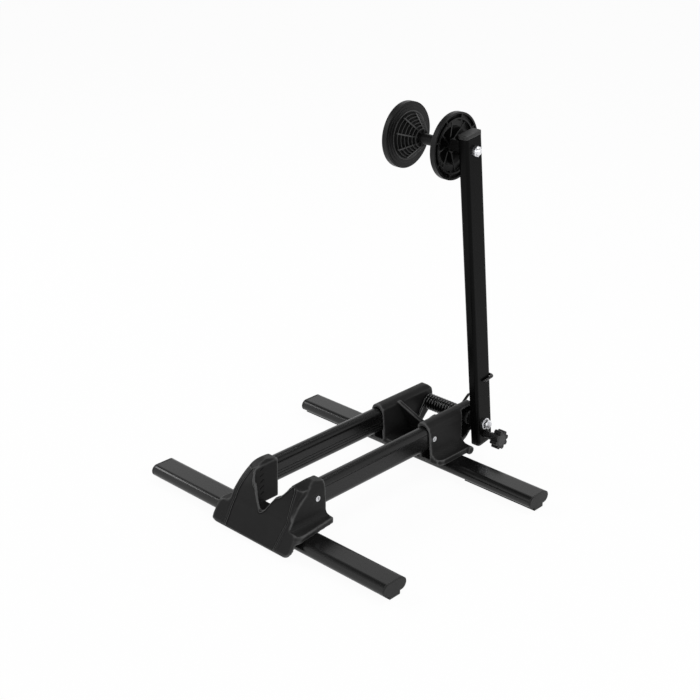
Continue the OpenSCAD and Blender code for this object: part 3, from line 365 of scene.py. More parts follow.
def webbed(name, grey, rough, ring_highlight_grey, gap_shade_grey):
    """The roller's plastic: a painted highlight where its rings and fins reach the cone, painted shade in the
    gaps between them.

    The depth of a point is r - r0 - (a - a0) dr/da, with r its distance from the axle and a its distance from
    the outer face of its cone.
    """
    made, shader, start = new_finish(name)
    here = start.node("ShaderNodeTexCoord", output="Object")
    from_middle = start.node("ShaderNodeVectorMath", {0: here, 1: tuple(ROLLER)}, operation="SUBTRACT")
    outwards = start.node("ShaderNodeVectorMath", {0: from_middle, 1: (0, 1, 1)}, operation="MULTIPLY")
    radius = start.node("ShaderNodeVectorMath", {0: outwards}, output="Value", operation="LENGTH")
    inwards = HALF_ROLLER - abs(start.node("ShaderNodeSeparateXYZ", {0: from_middle}, output="X"))
    depth = radius - (WEB_RADIUS + (inwards - WEB_START) * WEB_SLOPE)
    on_neck = inwards.within(WEB_END, WEB_END + FADE_OUT)
    on_web = inwards.within(WEB_START - FADE_IN, WEB_START) * (1 - on_neck)
    sparks, cloud, tone = grained(start, grey, WEB_GRAIN, WEB_CLOUD)
    edge = depth.within(*EDGE_DEPTHS) * on_web
    gap_shade = (1 - depth.within(*GAP_DEPTHS)) * on_web
    sharp = edge_mask(start, WEB_EDGE)
    # Painted highlight on the rings' edges, then painted shade in the gaps
    tone = blend_colours(start, (edge + sharp * SHARP_EDGE_SHARE).capped(), tone, ring_highlight_grey)
    tone = blend_colours(start, gap_shade, tone, gap_shade_grey)
    gloss = rough + cloud.sway(CLOUD_SWAY) + gap_shade * GAP_DULLS
    finish_with(start, shader, tone, gloss, sparks, WEB_GRAIN_DEPTH, WEB_ROUNDING, WEB_LEVEL)
    return made


print("rings' edges pale over", round((EDGE_DEPTHS[1] - EDGE_DEPTHS[0]) / MM, 1), "mm of depth")

# %% [markdown]
# ## Plastic for the soft skins
# The cradle and the bracket get new skins further down, with edges that are really round. The other
# finishes find their edges with a Bevel node, which needs a sharp corner. So each skin carries three
# numbers at its points instead: how humped it is, how far it lies inside the panel's outline, and how near
# a slot.

# %% Carved plastic
SKIN_GRAIN, SKIN_DEPTH = 0.6, 1.0
# Heights over the neighbours at which a point pales as wear and a painted highlight, and gets painted shade
# as hollow, and distances at which a slot ends
HUMP_FROM, HUMP_FULL, HOLLOW_FROM, HOLLOW_FULL, SLOT_FROM, SLOT_END = 0.008, 0.075, 0.02, 0.12, -0.1, 0.5
# The lines along the rim: distance inwards from the outline and half width, and the flat part in their middle
RIM_GROOVES, GROOVE_FLAT = ((0.4, 0.75), (-1.9, 0.7)), 0.15
RIM_RIDGES, RIDGE_FLAT = ((-0.7, 0.8), (-3.0, 0.9)), 0.1
# Shares of the colour, of the roughness and of the height; in the colour, hollows, grooves and slots get
# painted shade and the rim's ridges a painted highlight
HOLLOW_PAINTED_SHADE, INNER_RIDGE_PALES, OUTER_RIDGE_PALES, DARKEST, DARK_SHARE = 0.4, 0.45, 0.25, 0.2, 0.85
DARK_DULLS = 0.2
GRAIN_RISES, RIDGE_RISES, GROOVE_SINKS, SLOT_SINKS = 0.04, 0.4, 0.5, 0.9


def carved(name, grey, rough, level, wear_and_highlight_grey):
    """The moulding's plastic on a skin that knows where it is humped, where its rim runs and where it is cut.

    height = a grain + b ridges - c grooves - d slots, and a line at p is 1 where |rim - p| is small.
    The colour carries painted light: humps pale as wear and a painted highlight, ridges get a painted
    highlight, and hollows, grooves and slots get painted shade.
    """
    made, shader, start = new_finish(name)
    sparks, cloud, tone = grained(start, grey, SKIN_GRAIN, PLASTIC_CLOUD)
    hump, rim, grip = (start.node("ShaderNodeAttribute", output="Fac", attribute_name=key)
                       for key in ("hump", "rim", "grip"))
    # Humps pale as wear and a painted highlight; hollows get painted shade
    wear_and_highlight = hump.within(HUMP_FROM, HUMP_FULL)
    hollow = (hump * -1.0).within(HOLLOW_FROM, HOLLOW_FULL)
    groove, outer_groove = (1 - abs(rim - place).within(GROOVE_FLAT, half) for place, half in RIM_GROOVES)
    ridge, outer_ridge = (1 - abs(rim - place).within(RIDGE_FLAT, half) for place, half in RIM_RIDGES)
    grooves, ridges = groove + outer_groove, ridge + outer_ridge
    # Slots get painted shade, as do the grooves and hollows below
    cut = 1 - grip.within(SLOT_FROM, SLOT_END)
    # dark is painted shade, bright is painted highlight with some wear
    dark = (grooves + cut + hollow * HOLLOW_PAINTED_SHADE).capped()
    bright = (ridge * INNER_RIDGE_PALES + outer_ridge * OUTER_RIDGE_PALES + wear_and_highlight).capped()
    tone = blend_colours(start, bright * PLASTIC_WEAR_AND_HIGHLIGHT, tone, wear_and_highlight_grey)
    tone = blend_colours(start, dark * DARK_SHARE, tone, grey * DARKEST)
    gloss = rough + cloud.sway(CLOUD_SWAY) - wear_and_highlight * RUB_POLISH + sparks.sway(GRAIN_SWAY) + dark * DARK_DULLS
    height = sparks * GRAIN_RISES + ridges * RIDGE_RISES - grooves * GROOVE_SINKS - cut * SLOT_SINKS
    finish_with(start, shader, tone, gloss, height, SKIN_DEPTH, level=level)
    return made


print("the rim has", len(RIM_GROOVES), "grooves and", len(RIM_RIDGES), "ridges")

# %% [markdown]
# ## Plated metal and rubber
# Screws and nuts are plated steel: a bright, faintly blue metal with turning marks. The pads under the feet
# are matt rubber. Both could be one flat colour at this distance, but a library part is also seen from
# close by, so the plate is stained and the rubber holds dust.

# %% Plated metal and rubber
TURNING_MARK, MARK_STRETCH, STAIN, PLATE_ROUNDING = 0.6, (0.15, 1, 1), 4.0, 0.4
# Red, green and blue of a stained and of a clean plate, as shares of its grey
STAINED, CLEAN = (0.82, 0.83, 0.86), (1.0, 1.0, 1.02)
STAIN_SWAY, MARK_SWAY = 0.2, 0.1
RUBBER_DUST, RUBBER_CLOUD, RUBBER_DEPTH, RUBBER_ROUNDING, RUBBER_DUST_SHARE = 1.2, 20.0, 0.06, 0.6, 0.5
RUBBER_DARK, RUBBER_PALE, RUBBER_ROUGH, RUBBER_SWAY, RUBBER_LEVEL = 0.7, 1.6, 0.78, 0.2, 0.3


def plated(name, grey, rough, scratch):
    """Zinc or nickel plate: turning marks and slightly darker stains."""
    made, shader, start = new_finish(name)
    marks = specks(start, TURNING_MARK, detail=3, stretch=MARK_STRETCH)
    stain = specks(start, STAIN, detail=3)
    stained, clean = (tuple(grey * share for share in plate) for plate in (STAINED, CLEAN))
    tone = blend_colours(start, stain, stained, clean)
    gloss = rough + stain.sway(STAIN_SWAY) + marks.sway(MARK_SWAY)
    finish_with(start, shader, tone, gloss, marks, scratch, PLATE_ROUNDING)
    shader.inputs["Metallic"].default_value = 1.0
    return made


def rubber(name, grey):
    """Matt rubber: soft, with fine dust in it."""
    made, shader, start = new_finish(name)
    dust = specks(start, RUBBER_DUST, detail=4)
    cloud = specks(start, RUBBER_CLOUD, detail=3)
    tone = shades(start, dust.mixed(cloud, RUBBER_DUST_SHARE), grey, RUBBER_DARK, RUBBER_PALE)
    gloss = RUBBER_ROUGH + dust.sway(RUBBER_SWAY)
    finish_with(start, shader, tone, gloss, dust, RUBBER_DEPTH, RUBBER_ROUNDING, RUBBER_LEVEL)
    return made


print("turning marks", TURNING_MARK, "mm wide, rubber dust", RUBBER_DUST, "mm")

# %% [markdown]
# ## Each piece gets its finish
# The record says which material each node is made of. Finishes could be set node by node, but one table
# from the record's names does it for all, also for a piece that is added later. The knob's three steel
# pieces share the zinc of the screws in the record, but nothing bright shows at the real knob, so they are
# blacked by name afterwards.

# %% Finishes
# Each has a name, a grey and a roughness, then what its function names: level is the share of mirrored
# light, and the other greys carry painted light: paler edges that are wear and a painted highlight, and
# the roller's painted highlight on its rings and painted shade in its gaps
FINISHES = {
    "foot_paint": painted("satin powder coat", 0.0045, 0.22, "x", rounding=0.5, level=0.42, wear_and_highlight_grey=0.015),
    "rail_paint": painted("drawn and coated rail", 0.0040, 0.26, "y", rounding=0.4, level=0.30, wear_and_highlight_grey=0.02),
    # The arm's pale edges are mostly a painted highlight along its corners
    "arm_paint": painted("coated arm tube", 0.0022, 0.24, "z", rounding=1.2, level=0.06, wear_and_highlight_grey=0.09),
    "spring_steel": painted("coated spring wire", 0.0040, 0.20, "x", rounding=0.2, level=0.55, wear_and_highlight_grey=0.01),
    "moulding": moulded("grained moulding", 0.0120, 0.50, grain=0.6, depth=0.05, rounding=1.0, level=0.12),
    "cap_plastic": moulded("end cap plastic", 0.0080, 0.46, grain=0.5, depth=0.03, rounding=0.8, level=0.25),
    "bush_nylon": moulded("black nylon", 0.0060, 0.38, grain=0.8, depth=0.01, rounding=0.5, level=0.3),
    "top_cap_plastic": moulded("grey cap plastic", 0.018, 0.42, grain=0.5, depth=0.02, rounding=1.2,
                               level=0.3, wear_and_highlight_grey=0.13),
    "knob_plastic": moulded("knob plastic", 0.0090, 0.44, grain=0.5, depth=0.03, rounding=0.8,
                            level=0.25, wear_and_highlight_grey=0.05),
    "disc_plastic": moulded("knob face disc", 0.026, 0.40, grain=0.5, depth=0.02, rounding=0.5,
                            level=0.3, wear_and_highlight_grey=0.06),
    "cone_plastic": webbed("roller plastic", 0.0030, 0.36, ring_highlight_grey=0.052, gap_shade_grey=0.0010),
    "pad_rubber": rubber("pad rubber", 0.008),
    "zinc": plated("bright zinc", 0.78, 0.30, scratch=0.01),
    "bright_nut": plated("polished nut", 0.95, 0.34, scratch=0.004),
}
BLACKED = painted("blacked steel", 0.0050, 0.34, "x", rounding=0.4, level=0.3, wear_and_highlight_grey=0.03)
SKIN = carved("moulded skin", 0.0125, 0.48, level=0.10, wear_and_highlight_grey=0.085)
for material_row in frame["record"]["subparts"]:
    nodes[material_row["node"]].data.materials[0] = FINISHES[material_row["material_slot"]]
for blacked_node in ("knob_insert", "knob_washer", "knob_stud"):
    nodes[blacked_node].data.materials[0] = BLACKED

# %% [markdown]
# ## The torsion spring
# The solid model has the spring as a coarse faceted tube. Here it is a round wire: a centreline of points,
# and a circle carried along it. The wire starts at a leg fixed to the left cheek and makes twelve turns
# round the pivot. Its free leg rises behind the right cheek and hooks round the back of the arm. A Screw
# modifier could make the turns, but not the legs, so the whole line is worked out at once.

# %% The wire's sizes and curves
# Millimetres: the pivot's place, half of the slot between the cheeks, the arm's inner face and its size
PIVOT, SLOT_HALF = (0.0, 179.4, 56.0), 31.25
ARM_IN, ARM_THICKNESS, ARM_WIDTH, LEAN = 57.35, 15.0, 30.6, math.radians(8.2)
# The wire, the coil's outer diameter, its turns, and the room to what it rests on
WIRE, SPRING_DIAMETER, TURNS, SEAT = 4.0, 23.0, 12, 0.3
# Where the legs leave the coil, in degrees, the fixed leg's length, and how far the free leg runs straight
FIXED_ANGLE, FREE_ANGLE, FIXED_LEG, RISE = 148.0, 127.0, 29.0, 24.0
HOOK_HEIGHT, HOOK_REACH = 69.0, 17.0
COIL_RADIUS, COIL_X = (SPRING_DIAMETER - WIRE) / 2, SLOT_HALF - SEAT - WIRE / 2
# Points on the line, and the fixed leg's first distance from the coil
POINTS_A_TURN, LEG_POINTS, CURVE_STEPS, LEG_FROM = 40, 15, 8, 1.0


def on_coil(degrees):
    """Points [0, r cos a, r sin a] of the coil's circle."""
    a = np.radians(degrees)
    return np.stack([np.zeros_like(a), COIL_RADIUS * np.cos(a), COIL_RADIUS * np.sin(a)], axis=-1)


def leg_way(degrees):
    """The direction [0, sin a, -cos a] in which a leg leaves the coil."""
    a = math.radians(degrees)
    return np.array([0.0, math.sin(a), -math.cos(a)])


def in_arm(x, y, z):
    """A point of the upright arm, leaned forward about the pivot."""
    return [x, y * math.cos(LEAN) - z * math.sin(LEAN), y * math.sin(LEAN) + z * math.cos(LEAN)]


def catmull_rom(points, steps):
    """Between b and c, 0.5 (2b + (c-a)t + (2a-5b+4c-d)t^2 + (3b-a-3c+d)t^3), a before and d after them."""
    p = np.vstack([2 * points[0] - points[1], points, 2 * points[-1] - points[-2]])
    a, b, c, d = (p[i:len(p) - 3 + i, None, :] for i in range(4))
    t = (np.arange(steps) / steps)[None, :, None]
    curve = 0.5 * (2 * b + (c - a) * t + (2 * a - 5 * b + 4 * c - d) * t ** 2
                   + (3 * b - a - 3 * c + d) * t ** 3)
    return np.vstack([curve.reshape(-1, 3), points[-1:]])


print("coil of", TURNS, "turns, radius", COIL_RADIUS, "mm, between x of", -COIL_X, "and", COIL_X)

# %% The wire's centreline
coil_start = on_coil(np.array(FIXED_ANGLE)) + [-COIL_X, 0, 0]
coil_end = on_coil(np.array(FREE_ANGLE)) + [COIL_X, 0, 0]
leg_top = coil_end + RISE * leg_way(FREE_ANGLE)
hook_back, hook_out = ARM_WIDTH / 2 + WIRE / 2 + SEAT, ARM_IN + ARM_THICKNESS + WIRE / 2 + SEAT
# The free leg's route: off the coil and sideways, up behind the cheek, along the arm's back, round it
leg_route = np.array([
    coil_end, leg_top,
    [COIL_X + WIRE * 0.4, leg_top[1] + WIRE / 2, leg_top[2] + WIRE * 0.7],
    [COIL_X + 2 * WIRE, leg_top[1] + WIRE * 0.6, leg_top[2] + WIRE * 1.9],
    in_arm(ARM_IN - 3 * WIRE, hook_back + WIRE / 8, HOOK_HEIGHT * 0.52),
    in_arm(ARM_IN - 1.8 * WIRE, hook_back, HOOK_HEIGHT * 0.72),
    in_arm(ARM_IN - 0.9 * WIRE, hook_back, HOOK_HEIGHT * 0.9),
    in_arm(ARM_IN - WIRE * 0.3, hook_back, HOOK_HEIGHT - WIRE / 4),
    in_arm(ARM_IN + WIRE, hook_back, HOOK_HEIGHT),
    in_arm(ARM_IN + ARM_THICKNESS / 2, hook_back, HOOK_HEIGHT),
    in_arm(ARM_IN + ARM_THICKNESS - WIRE / 8, hook_back, HOOK_HEIGHT),
    in_arm(hook_out, hook_back - WIRE * 0.6, HOOK_HEIGHT),
    in_arm(hook_out, hook_back - WIRE * 1.6, HOOK_HEIGHT),
    in_arm(hook_out, hook_back - HOOK_REACH, HOOK_HEIGHT)])
sweep = 360 * TURNS - (FREE_ANGLE - FIXED_ANGLE)
share = np.linspace(0, 1, TURNS * POINTS_A_TURN + 1)
coil = on_coil(FIXED_ANGLE - sweep * share) + np.outer(COIL_X * (2 * share - 1), [1, 0, 0])
fixed_leg = coil_start - np.outer(np.linspace(FIXED_LEG, LEG_FROM, LEG_POINTS), leg_way(FIXED_ANGLE))
wire_line = (np.vstack([fixed_leg, coil, catmull_rom(leg_route, CURVE_STEPS)[1:]]) + PIVOT) * MM
wire_length = np.linalg.norm(np.diff(wire_line, axis=0), axis=1).sum()
print("spring wire:", len(wire_line), "points,", round(wire_length, 3), "m long")

# %% A tube along a line
WIRE_SIDES, END_RINGS = 16, 4
# An end's last ring, as a share of the radius, and a direction that no leg runs in
TIP_SHARE, ASIDE = 0.02, [1.0, 0.2, 0.1]


def new_piece(name, points, faces, finish, smooth=True):
    """A mesh object at the origin from points and faces, with one finish."""
    mesh = bpy.data.meshes.new(name)
    mesh.from_pydata(np.asarray(points, float).tolist(), [], [list(map(int, f)) for f in faces])
    mesh.polygons.foreach_set("use_smooth", [smooth] * len(mesh.polygons))
    mesh.materials.append(finish)
    mesh.update()
    made = bpy.data.objects.new(name, mesh)
    scene.collection.objects.link(made)
    return made


def ring_faces(rings, sides):
    """Quads between neighbouring rings of points, closed round each ring."""
    i, k = np.meshgrid(np.arange(rings - 1), np.arange(sides), indexing="ij")
    after = (k + 1) % sides
    quads = np.stack([i * sides + k, i * sides + after, (i + 1) * sides + after, (i + 1) * sides + k], -1)
    return quads.reshape(-1, 4)


def tube_along(line, radius):
    """Points P(i, k) = line(i) + r(i) (cos a u(i) + sin a v(i)), with u carried along the line untwisted.

    Both ends close in quarter circles of the tube's radius.
    """
    ahead = np.gradient(line, axis=0)
    ahead /= np.linalg.norm(ahead, axis=1)[:, None]
    u = np.empty_like(line)
    side = np.cross(ahead[0], ASIDE)
    for i, t in enumerate(ahead):
        side = side - side.dot(t) * t
        u[i] = side = side / np.linalg.norm(side)
    v = np.cross(ahead, u)
    q = np.linspace(0, math.pi / 2, END_RINGS + 1)
    inset, shrink = (1 - np.cos(q))[::-1], np.sin(q)
    shrink[0] = TIP_SHARE
    line = np.vstack([line[:1] - np.outer(radius * (1 - inset[:-1]), ahead[0]), line,
                      line[-1:] + np.outer(radius * (1 - inset[:-1][::-1]), ahead[-1])])
    u = np.vstack([np.repeat(u[:1], END_RINGS, 0), u, np.repeat(u[-1:], END_RINGS, 0)])
    v = np.vstack([np.repeat(v[:1], END_RINGS, 0), v, np.repeat(v[-1:], END_RINGS, 0)])
    r = radius * np.concatenate([shrink[:-1], np.ones(len(line) - 2 * END_RINGS), shrink[:-1][::-1]])
    a = np.linspace(0, 2 * math.pi, WIRE_SIDES, endpoint=False)
    circles = np.cos(a)[None, :, None] * u[:, None] + np.sin(a)[None, :, None] * v[:, None]
    points = line[:, None] + r[:, None, None] * circles
    last_ring = (len(line) - 1) * WIRE_SIDES
    caps = [list(range(WIRE_SIDES))[::-1], list(range(last_ring, last_ring + WIRE_SIDES))]
    return points.reshape(-1, 3), [*ring_faces(len(line), WIRE_SIDES).tolist(), *caps]


print("a tube has", WIRE_SIDES, "sides")

# %% The spring
points, faces = tube_along(wire_line, WIRE / 2 * MM)
spring = new_piece("spring_wire", points, faces, FINISHES["spring_steel"])
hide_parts("torsion_spring")
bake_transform(spring)
print("spring mesh:", len(faces), "faces")

# %% [markdown]
# ## Soft skins for the mouldings
# The cradle and the bracket are injection mouldings: every edge is rounded by the tool and each wall flows
# into the next. The solid model has them as crisp faces. A Bevel modifier wants clean faces, and these are
# many small triangles. So a copy of each is poured into a grid of one-millimetre voxels and smoothed, which
# rounds all its edges at once, as a mould does. Each point of a skin then learns how far it stands above
# its neighbours; the finish pales it there, as wear where hands and tyres rub and as a painted highlight
# along the rounded edges.

# %% Measuring a mesh
EVEN_TURNS = 7


def points_of(mesh):
    """Points, directions and edges of a mesh as arrays."""
    points, normals = np.empty(3 * len(mesh.vertices)), np.empty(3 * len(mesh.vertices))
    pairs = np.empty(2 * len(mesh.edges), int)
    mesh.vertices.foreach_get("co", points)
    mesh.vertex_normals.foreach_get("vector", normals)
    mesh.edges.foreach_get("vertices", pairs)
    return points.reshape(-1, 3), normals.reshape(-1, 3), pairs.reshape(-1, 2)


def neighbour_mean(values, pairs):
    """The mean of each point's neighbours: m(i) = sum over edges (i, j) of v(j) / count(i)."""
    ends = np.concatenate([pairs[:, 0], pairs[:, 1]])
    others = np.concatenate([pairs[:, 1], pairs[:, 0]])
    count = np.bincount(ends, minlength=len(values))
    columns = values.reshape(len(values), -1)
    total = np.stack([np.bincount(ends, column[others], len(values)) for column in columns.T], axis=1)
    return (total / np.maximum(count, 1)[:, None]).reshape(values.shape)


def hump_of(mesh):
    """Each point's height over its neighbours' mean, along its direction and in mm, evened out in turns."""
    points, normals, pairs = points_of(mesh)
    height = ((points - neighbour_mean(points, pairs)) * normals).sum(axis=1) / MM
    for _ in range(EVEN_TURNS):
        height = 0.5 * height + 0.5 * neighbour_mean(height, pairs)
    return height


def carry(mesh, name, values):
    """Stores one number per point under a name that the shader reads."""
    mesh.attributes.new(name, "FLOAT", "POINT").data.foreach_set("value", values)


print("humps are evened out in", EVEN_TURNS, "turns")

# %% Skins
MERGE, VOXEL, SOFTEN, CRADLE_TURNS, BRACKET_TURNS = 0.01 * MM, 1.0 * MM, 0.5, 6, 5
# What a skin carries where it has no rim and no slot: a distance in millimetres too far to show
FAR_OFF = 9.0


def soft_skin(node, name, turns):
    """Voxel remesh of a CAD node's copy, then smoothing: each turn moves a point towards its neighbours."""
    made = bpy.data.objects.new(name, nodes[node].data.copy())
    scene.collection.objects.link(made)
    made.modifiers.new("merge", "WELD").merge_threshold = MERGE
    pour = made.modifiers.new("pour", "REMESH")
    pour.mode, pour.voxel_size, pour.use_smooth_shade = "VOXEL", VOXEL, True
    soften = made.modifiers.new("soften", "SMOOTH")
    soften.factor, soften.iterations = SOFTEN, turns
    baked = bpy.data.meshes.new_from_object(made.evaluated_get(bpy.context.evaluated_depsgraph_get()))
    made.modifiers.clear()
    baked.materials.clear()
    baked.materials.append(SKIN)
    made.data = baked
    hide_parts(node)
    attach(made, "base")
    print(name, len(baked.polygons), "faces")
    return made


cradle_skin = soft_skin("front_cradle", "cradle_skin", CRADLE_TURNS)
bracket_skin = soft_skin("rear_bracket", "bracket_skin", BRACKET_TURNS)
carry(bracket_skin.data, "hump", hump_of(bracket_skin.data))
for absent in ("rim", "grip"):
    carry(bracket_skin.data, absent, np.full(len(bracket_skin.data.vertices), FAR_OFF))

# %% [markdown]
# ## The cradle's front face
# The front face is a swept surface: its middle follows a profile, and it curves back towards the sides by
# s(z) |x / h|^3. The solid model approaches it with flat facets, which no smoothing takes away without
# taking the edges too. So the skin's points near the face are laid onto the true surface, and the panel
# between the towers is sunk into it, with two fine lines along its rim.

# %% The swept face
# Millimetres: the middle's foremost point, how far it runs back, two heights and the half width
CRADLE_Y0, CRADLE_REACH, APRON_Z, TOWER_TOP, TOWER_HALF = -197.499, 82.2, 4.4, 80.0, 53.75
# How far the sides curve back at the top, the share of the height from which they do, and both powers
FACE_SWEEP, SWEEP_FROM, SWEEP_RISE, SWEEP_POWER = 26.0, 0.458, 1.7, 3
# The middle's profile, as shares of its height and of its reach, evened out over some millimetres of height
FACE_Z = np.array([0, 0.06, 0.1, 0.153, 0.206, 0.272, 0.339, 0.405, 0.458, 0.524, 0.611, 0.683, 0.735,
                   0.788, 0.849, 0.894, 0.934, 0.967, 0.991, 1])
FACE_Y = np.array([0, 0.004, 0.034, 0.066, 0.098, 0.136, 0.178, 0.229, 0.263, 0.277, 0.303, 0.328, 0.351,
                   0.38, 0.415, 0.428, 0.452, 0.5, 0.586, 0.72])
EVEN_HEIGHT, EVEN_POINTS = 3.0, 7


def face_y(x, z):
    """y of the swept face: the profile, evened out over a little height, plus s(z) |x / h|^3, all in mm."""
    spread = np.linspace(-EVEN_HEIGHT / 2, EVEN_HEIGHT / 2, EVEN_POINTS)
    share = (z[:, None] + spread - APRON_Z) / (TOWER_TOP - APRON_Z)
    middle = np.interp(share, FACE_Z, FACE_Y).mean(axis=1)
    bend = np.clip((share[:, EVEN_POINTS // 2] - SWEEP_FROM) / (1 - SWEEP_FROM), 0, None) ** SWEEP_RISE
    return CRADLE_Y0 + CRADLE_REACH * middle + FACE_SWEEP * bend * (np.abs(x) / TOWER_HALF) ** SWEEP_POWER


corner_back = face_y(np.array([0.0, TOWER_HALF]), np.array([TOWER_TOP, TOWER_TOP]))
print("at the top the face curves back by", round(float(np.diff(corner_back)[0]), 1), "mm")

# %% The panel's outline
FOOT_TOP, NOTCH_Z, PANEL_BORDER = 21.0, 37.0, 3.0
# The edge along the notch, as shares of the slot's half and of the towers' height over the notch
NOTCH_X = np.array([0, 0.06, 0.13, 0.24, 0.336, 0.44, 0.576, 0.66, 0.76, 0.84, 0.93])
NOTCH_RISE = np.array([0, 0.008, 0.04, 0.13, 0.247, 0.358, 0.512, 0.555, 0.585, 0.64, 0.74])
# The edge along the tower, as shares of the tower's width and of its height over the foot
PANEL_X = np.array([0.19, 0.3, 0.44, 0.56, 0.6, 0.54, 0.46])
PANEL_RISE = np.array([0.91, 0.84, 0.66, 0.46, 0.28, 0.05, -0.24])


def smooth_step(value, low, high):
    """3t^2 - 2t^3 with t running from 0 at low to 1 at high."""
    t = np.clip((value - low) / (high - low), 0, 1)
    return t * t * (3 - 2 * t)


def inside_by(x, z, outline):
    """Distance from each (x, z) to a closed outline, positive inside it.

    A point is inside where a line to its right crosses the outline an odd number of times.
    """
    here = np.stack([x, z], axis=1)[:, None]
    first, second = outline[None], np.roll(outline, -1, axis=0)[None]
    along = second - first
    t = np.clip(((here - first) * along).sum(-1) / (along ** 2).sum(-1), 0, 1)
    far = np.linalg.norm(here - first - t[..., None] * along, axis=-1).min(axis=1)
    crosses = (first[..., 1] > here[..., 1]) != (second[..., 1] > here[..., 1])
    rise = np.where(along[..., 1] == 0, 1, along[..., 1])
    cut_x = first[..., 0] + (here[..., 1] - first[..., 1]) / rise * along[..., 0]
    inside = (crosses & (here[..., 0] < cut_x)).sum(axis=1) % 2 == 1
    return np.where(inside, far, -far)


notch_edge = np.stack([SLOT_HALF * NOTCH_X,
                       NOTCH_Z - PANEL_BORDER + (TOWER_TOP - NOTCH_Z) * NOTCH_RISE], axis=1)
tower_edge = np.stack([SLOT_HALF + (TOWER_HALF - SLOT_HALF) * PANEL_X,
                       FOOT_TOP + (TOWER_TOP - FOOT_TOP) * PANEL_RISE], axis=1)
half_panel = np.vstack([notch_edge, tower_edge])
panel = np.vstack([half_panel, (half_panel * [-1, 1])[::-1][:-1]])
print("panel outline:", len(panel), "points,", round(np.ptp(panel[:, 0]), 1), "mm wide")

# %% Laying the skin onto the face
PANEL_DEPTH, PANEL_EDGE = 1.0, (-0.5, 0.6)
# A point is laid where its direction agrees with the face's own and it is near the face
AGREES_FROM, AGREES_FULL, NEAR_FACE = 0.86, 0.95, 3.0
# Distances over the apron's foot, and in from the tower's corner, over which the laying sets in
FOOT_FROM, FOOT_FULL, CORNER, CORNER_FROM, CORNER_FULL = 3, 6, 4.0, -1, 2
SLOPE_STEP, SETTLE_TURNS, SETTLE = 0.5, 2, 0.35
# The rim's lines show where the laying is above this share, and above this height over the apron's foot
RIM_SHARE, RIM_FOOT = 0.1, 4

skin_mesh = cradle_skin.data
points, normals, pairs = points_of(skin_mesh)
x, y, z = (points / MM).T
ahead = face_y(x, z)
slope_x = face_y(x + SLOPE_STEP, z) - face_y(x - SLOPE_STEP, z)
slope_z = face_y(x, z + SLOPE_STEP) - face_y(x, z - SLOPE_STEP)
steep = np.sqrt(1 + slope_x ** 2 + slope_z ** 2)
agrees = (normals * np.stack([slope_x, -np.ones_like(x), slope_z], axis=1)).sum(axis=1) / steep
facing = smooth_step(agrees, AGREES_FROM, AGREES_FULL) * (np.abs(y - ahead) < NEAR_FACE)
facing *= smooth_step(z, APRON_Z + FOOT_FROM, APRON_Z + FOOT_FULL)
facing *= smooth_step(TOWER_HALF - CORNER - np.abs(x), CORNER_FROM, CORNER_FULL)
depth = inside_by(x, z, panel)
laid = ahead + PANEL_DEPTH * smooth_step(depth, *PANEL_EDGE)
points[:, 1] = (y + facing * (laid - y)) * MM
for _ in range(SETTLE_TURNS):
    points += SETTLE * (neighbour_mean(points, pairs) - points)
skin_mesh.vertices.foreach_set("co", points.ravel())
skin_mesh.update()
on_face = facing > RIM_SHARE
carry(skin_mesh, "hump", hump_of(skin_mesh))
# The rim's distance draws the two lines: bumps with painted shade in the grooves and a painted highlight on
# the ridges
carry(skin_mesh, "rim", np.where(on_face & (z > APRON_Z + RIM_FOOT), depth, FAR_OFF))
print(int(on_face.sum()), "points laid,", int((on_face & (depth > 0)).sum()), "of them in the panel")

# %% [markdown]
# ## Grip slots
# Five short slots are cut into each inner wall of the notch, where the tyre presses. They are shallow and
# hardly wider than a voxel, so the pour blurs them. Finer voxels would bring them back at many times the
# points. The finish does it instead, as a sunk pattern with painted shade in it, which follows each
# point's distance to the nearest slot.

# %% Grip slots
GRIP_Y, GRIP_LENGTH, GRIP_WIDTH, GRIP_SLOTS, GRIP_TILT = -144.8, 6.6, 1.6, 5, math.radians(25)
# The first slot's height and the height that all take, as shares of the tower, and a wall point's distance
GRIP_FROM, GRIP_SPAN, NEAR_WALL = 0.25, 0.73, 2.0
GRIP_Z = FOOT_TOP + (TOWER_TOP - FOOT_TOP) * (GRIP_FROM + GRIP_SPAN * np.arange(GRIP_SLOTS) / GRIP_SLOTS)
back, rise = y[:, None] - GRIP_Y, z[:, None] - GRIP_Z
along_slot = np.abs(back * math.cos(GRIP_TILT) + rise * math.sin(GRIP_TILT)) - GRIP_LENGTH / 2
across_slot = np.abs(rise * math.cos(GRIP_TILT) - back * math.sin(GRIP_TILT)) - GRIP_WIDTH / 2
to_slot = np.maximum(along_slot, across_slot).min(axis=1)
on_wall = np.abs(np.abs(x) - SLOT_HALF) < NEAR_WALL
carry(skin_mesh, "grip", np.where(on_wall, to_slot, FAR_OFF))
print("slot points", int((on_wall & (to_slot < 0)).sum()))

# %% [markdown]
# ## Floor and light
# The photograph has a pure white ground. More light would make any floor white, but it would bleach the
# rack too. So the floor is plain white only where the camera, a mirror or glass looks at it. Part of that
# white is left to real light, which keeps the soft shadow. Four soft boxes and a pale sky give black
# plastic its long, quiet highlights.

# %% Floor
# How much of the floor's white is given, as the camera sees it and in reflections
SEEN_SHARE, MIRRORED_SHARE = 0.95, 0.60
# Half of the floor's side and the size of its clouds, in millimetres, and its greys and roughness
FLOOR, PAPER_CLOUD, PAPER_DARK, PAPER_PALE, PAPER_ROUGH = 30000.0, 400.0, 0.86, 0.9, 0.9


def white_for_camera(start):
    """How much of the floor is plain white: most where a camera looks, less in reflections, none in light."""
    seen, glossy, through = [start.node("ShaderNodeLightPath", output=name)
                             for name in ("Is Camera Ray", "Is Glossy Ray", "Is Transmission Ray")]
    return ((seen + through) * SEEN_SHARE + glossy * MIRRORED_SHARE).capped()


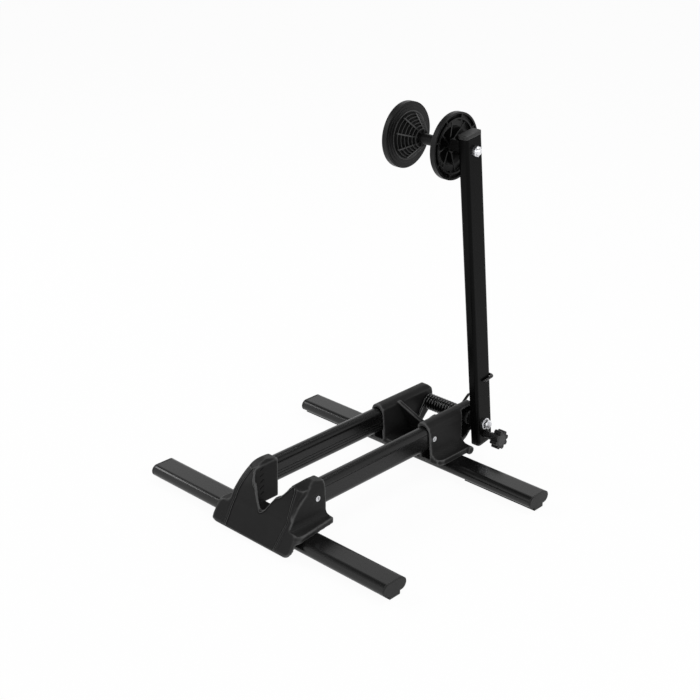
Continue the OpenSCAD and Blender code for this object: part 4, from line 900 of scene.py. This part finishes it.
floor_paint, floor_shader, start = new_finish("white ground")
tone = blend_colours(start, specks(start, PAPER_CLOUD, detail=2), PAPER_DARK, PAPER_PALE)
start.tree.links.new(tone.socket, floor_shader.inputs["Base Color"])
floor_shader.inputs["Roughness"].default_value = PAPER_ROUGH
floor_shader.inputs["Specular IOR Level"].default_value = 0.0
glow = start.node("ShaderNodeEmission", {"Color": (1, 1, 1, 1), "Strength": 1.0})
mixed = start.node("ShaderNodeMixShader", {0: white_for_camera(start), 2: glow})
start.tree.links.new(floor_shader.outputs[0], mixed.socket.node.inputs[1])
start.tree.links.new(mixed.socket, start.tree.nodes["Material Output"].inputs["Surface"])
corners = np.array([(-1, -1, 0), (1, -1, 0), (1, 1, 0), (-1, 1, 0)]) * FLOOR * MM
floor = new_piece("ground", corners, [(0, 1, 2, 3)], floor_paint, smooth=False)
print("floor", round(2 * FLOOR * MM), "m wide")

# %% Sky
HORIZON, ZENITH = 0.95, 0.12
# The sky darkens between these heights of the direction's unit vector
PALE_UP_TO, DARK_FROM = 0.42, 0.85

sky = bpy.data.worlds.new("pale sky")
sky.use_nodes = True
scene.world = sky
above = Wire(sky.node_tree)
way = above.node("ShaderNodeTexCoord", output="Generated")
height = above.node("ShaderNodeSeparateXYZ", {0: way}, output="Z")
strength = HORIZON - height.within(PALE_UP_TO, DARK_FROM) * (HORIZON - ZENITH)
sky.node_tree.links.new(strength.socket, sky.node_tree.nodes["Background"].inputs["Strength"])
sky.node_tree.nodes["Background"].inputs["Color"].default_value = (1, 1, 1, 1)
print("sky from", HORIZON, "at the horizon to", ZENITH, "overhead")

# %% Soft boxes
AIM = np.array([0.0, 0.0, 0.15])
# Name, place, width and height in metres, and watts
LAMPS = (("overhead box", (0.2, 0.9, 2.4), 1.0, 1.0, 20), ("left box", (-1.9, -0.5, 1.3), 0.8, 0.8, 14),
         ("right box", (2.2, -0.5, 1.5), 0.7, 0.7, 16), ("tall strip", (0.55, -2.2, 0.9), 0.12, 1.4, 5))


def soft_box(name, place, width, height, watts):
    """A rectangular area lamp that faces the rack."""
    data = bpy.data.lights.new(name, "AREA")
    data.shape, data.size, data.size_y, data.energy = "RECTANGLE", width, height, watts
    made = bpy.data.objects.new(name, data)
    scene.collection.objects.link(made)
    back = np.array(place) - AIM
    back /= np.linalg.norm(back)
    right = np.cross([0.0, 0.0, 1.0], back)
    right /= np.linalg.norm(right)
    made.matrix_world = as_matrix(np.stack([right, np.cross(back, right), back], axis=1), place)


for lamp in LAMPS:
    soft_box(*lamp)
print(len(LAMPS), "soft boxes")
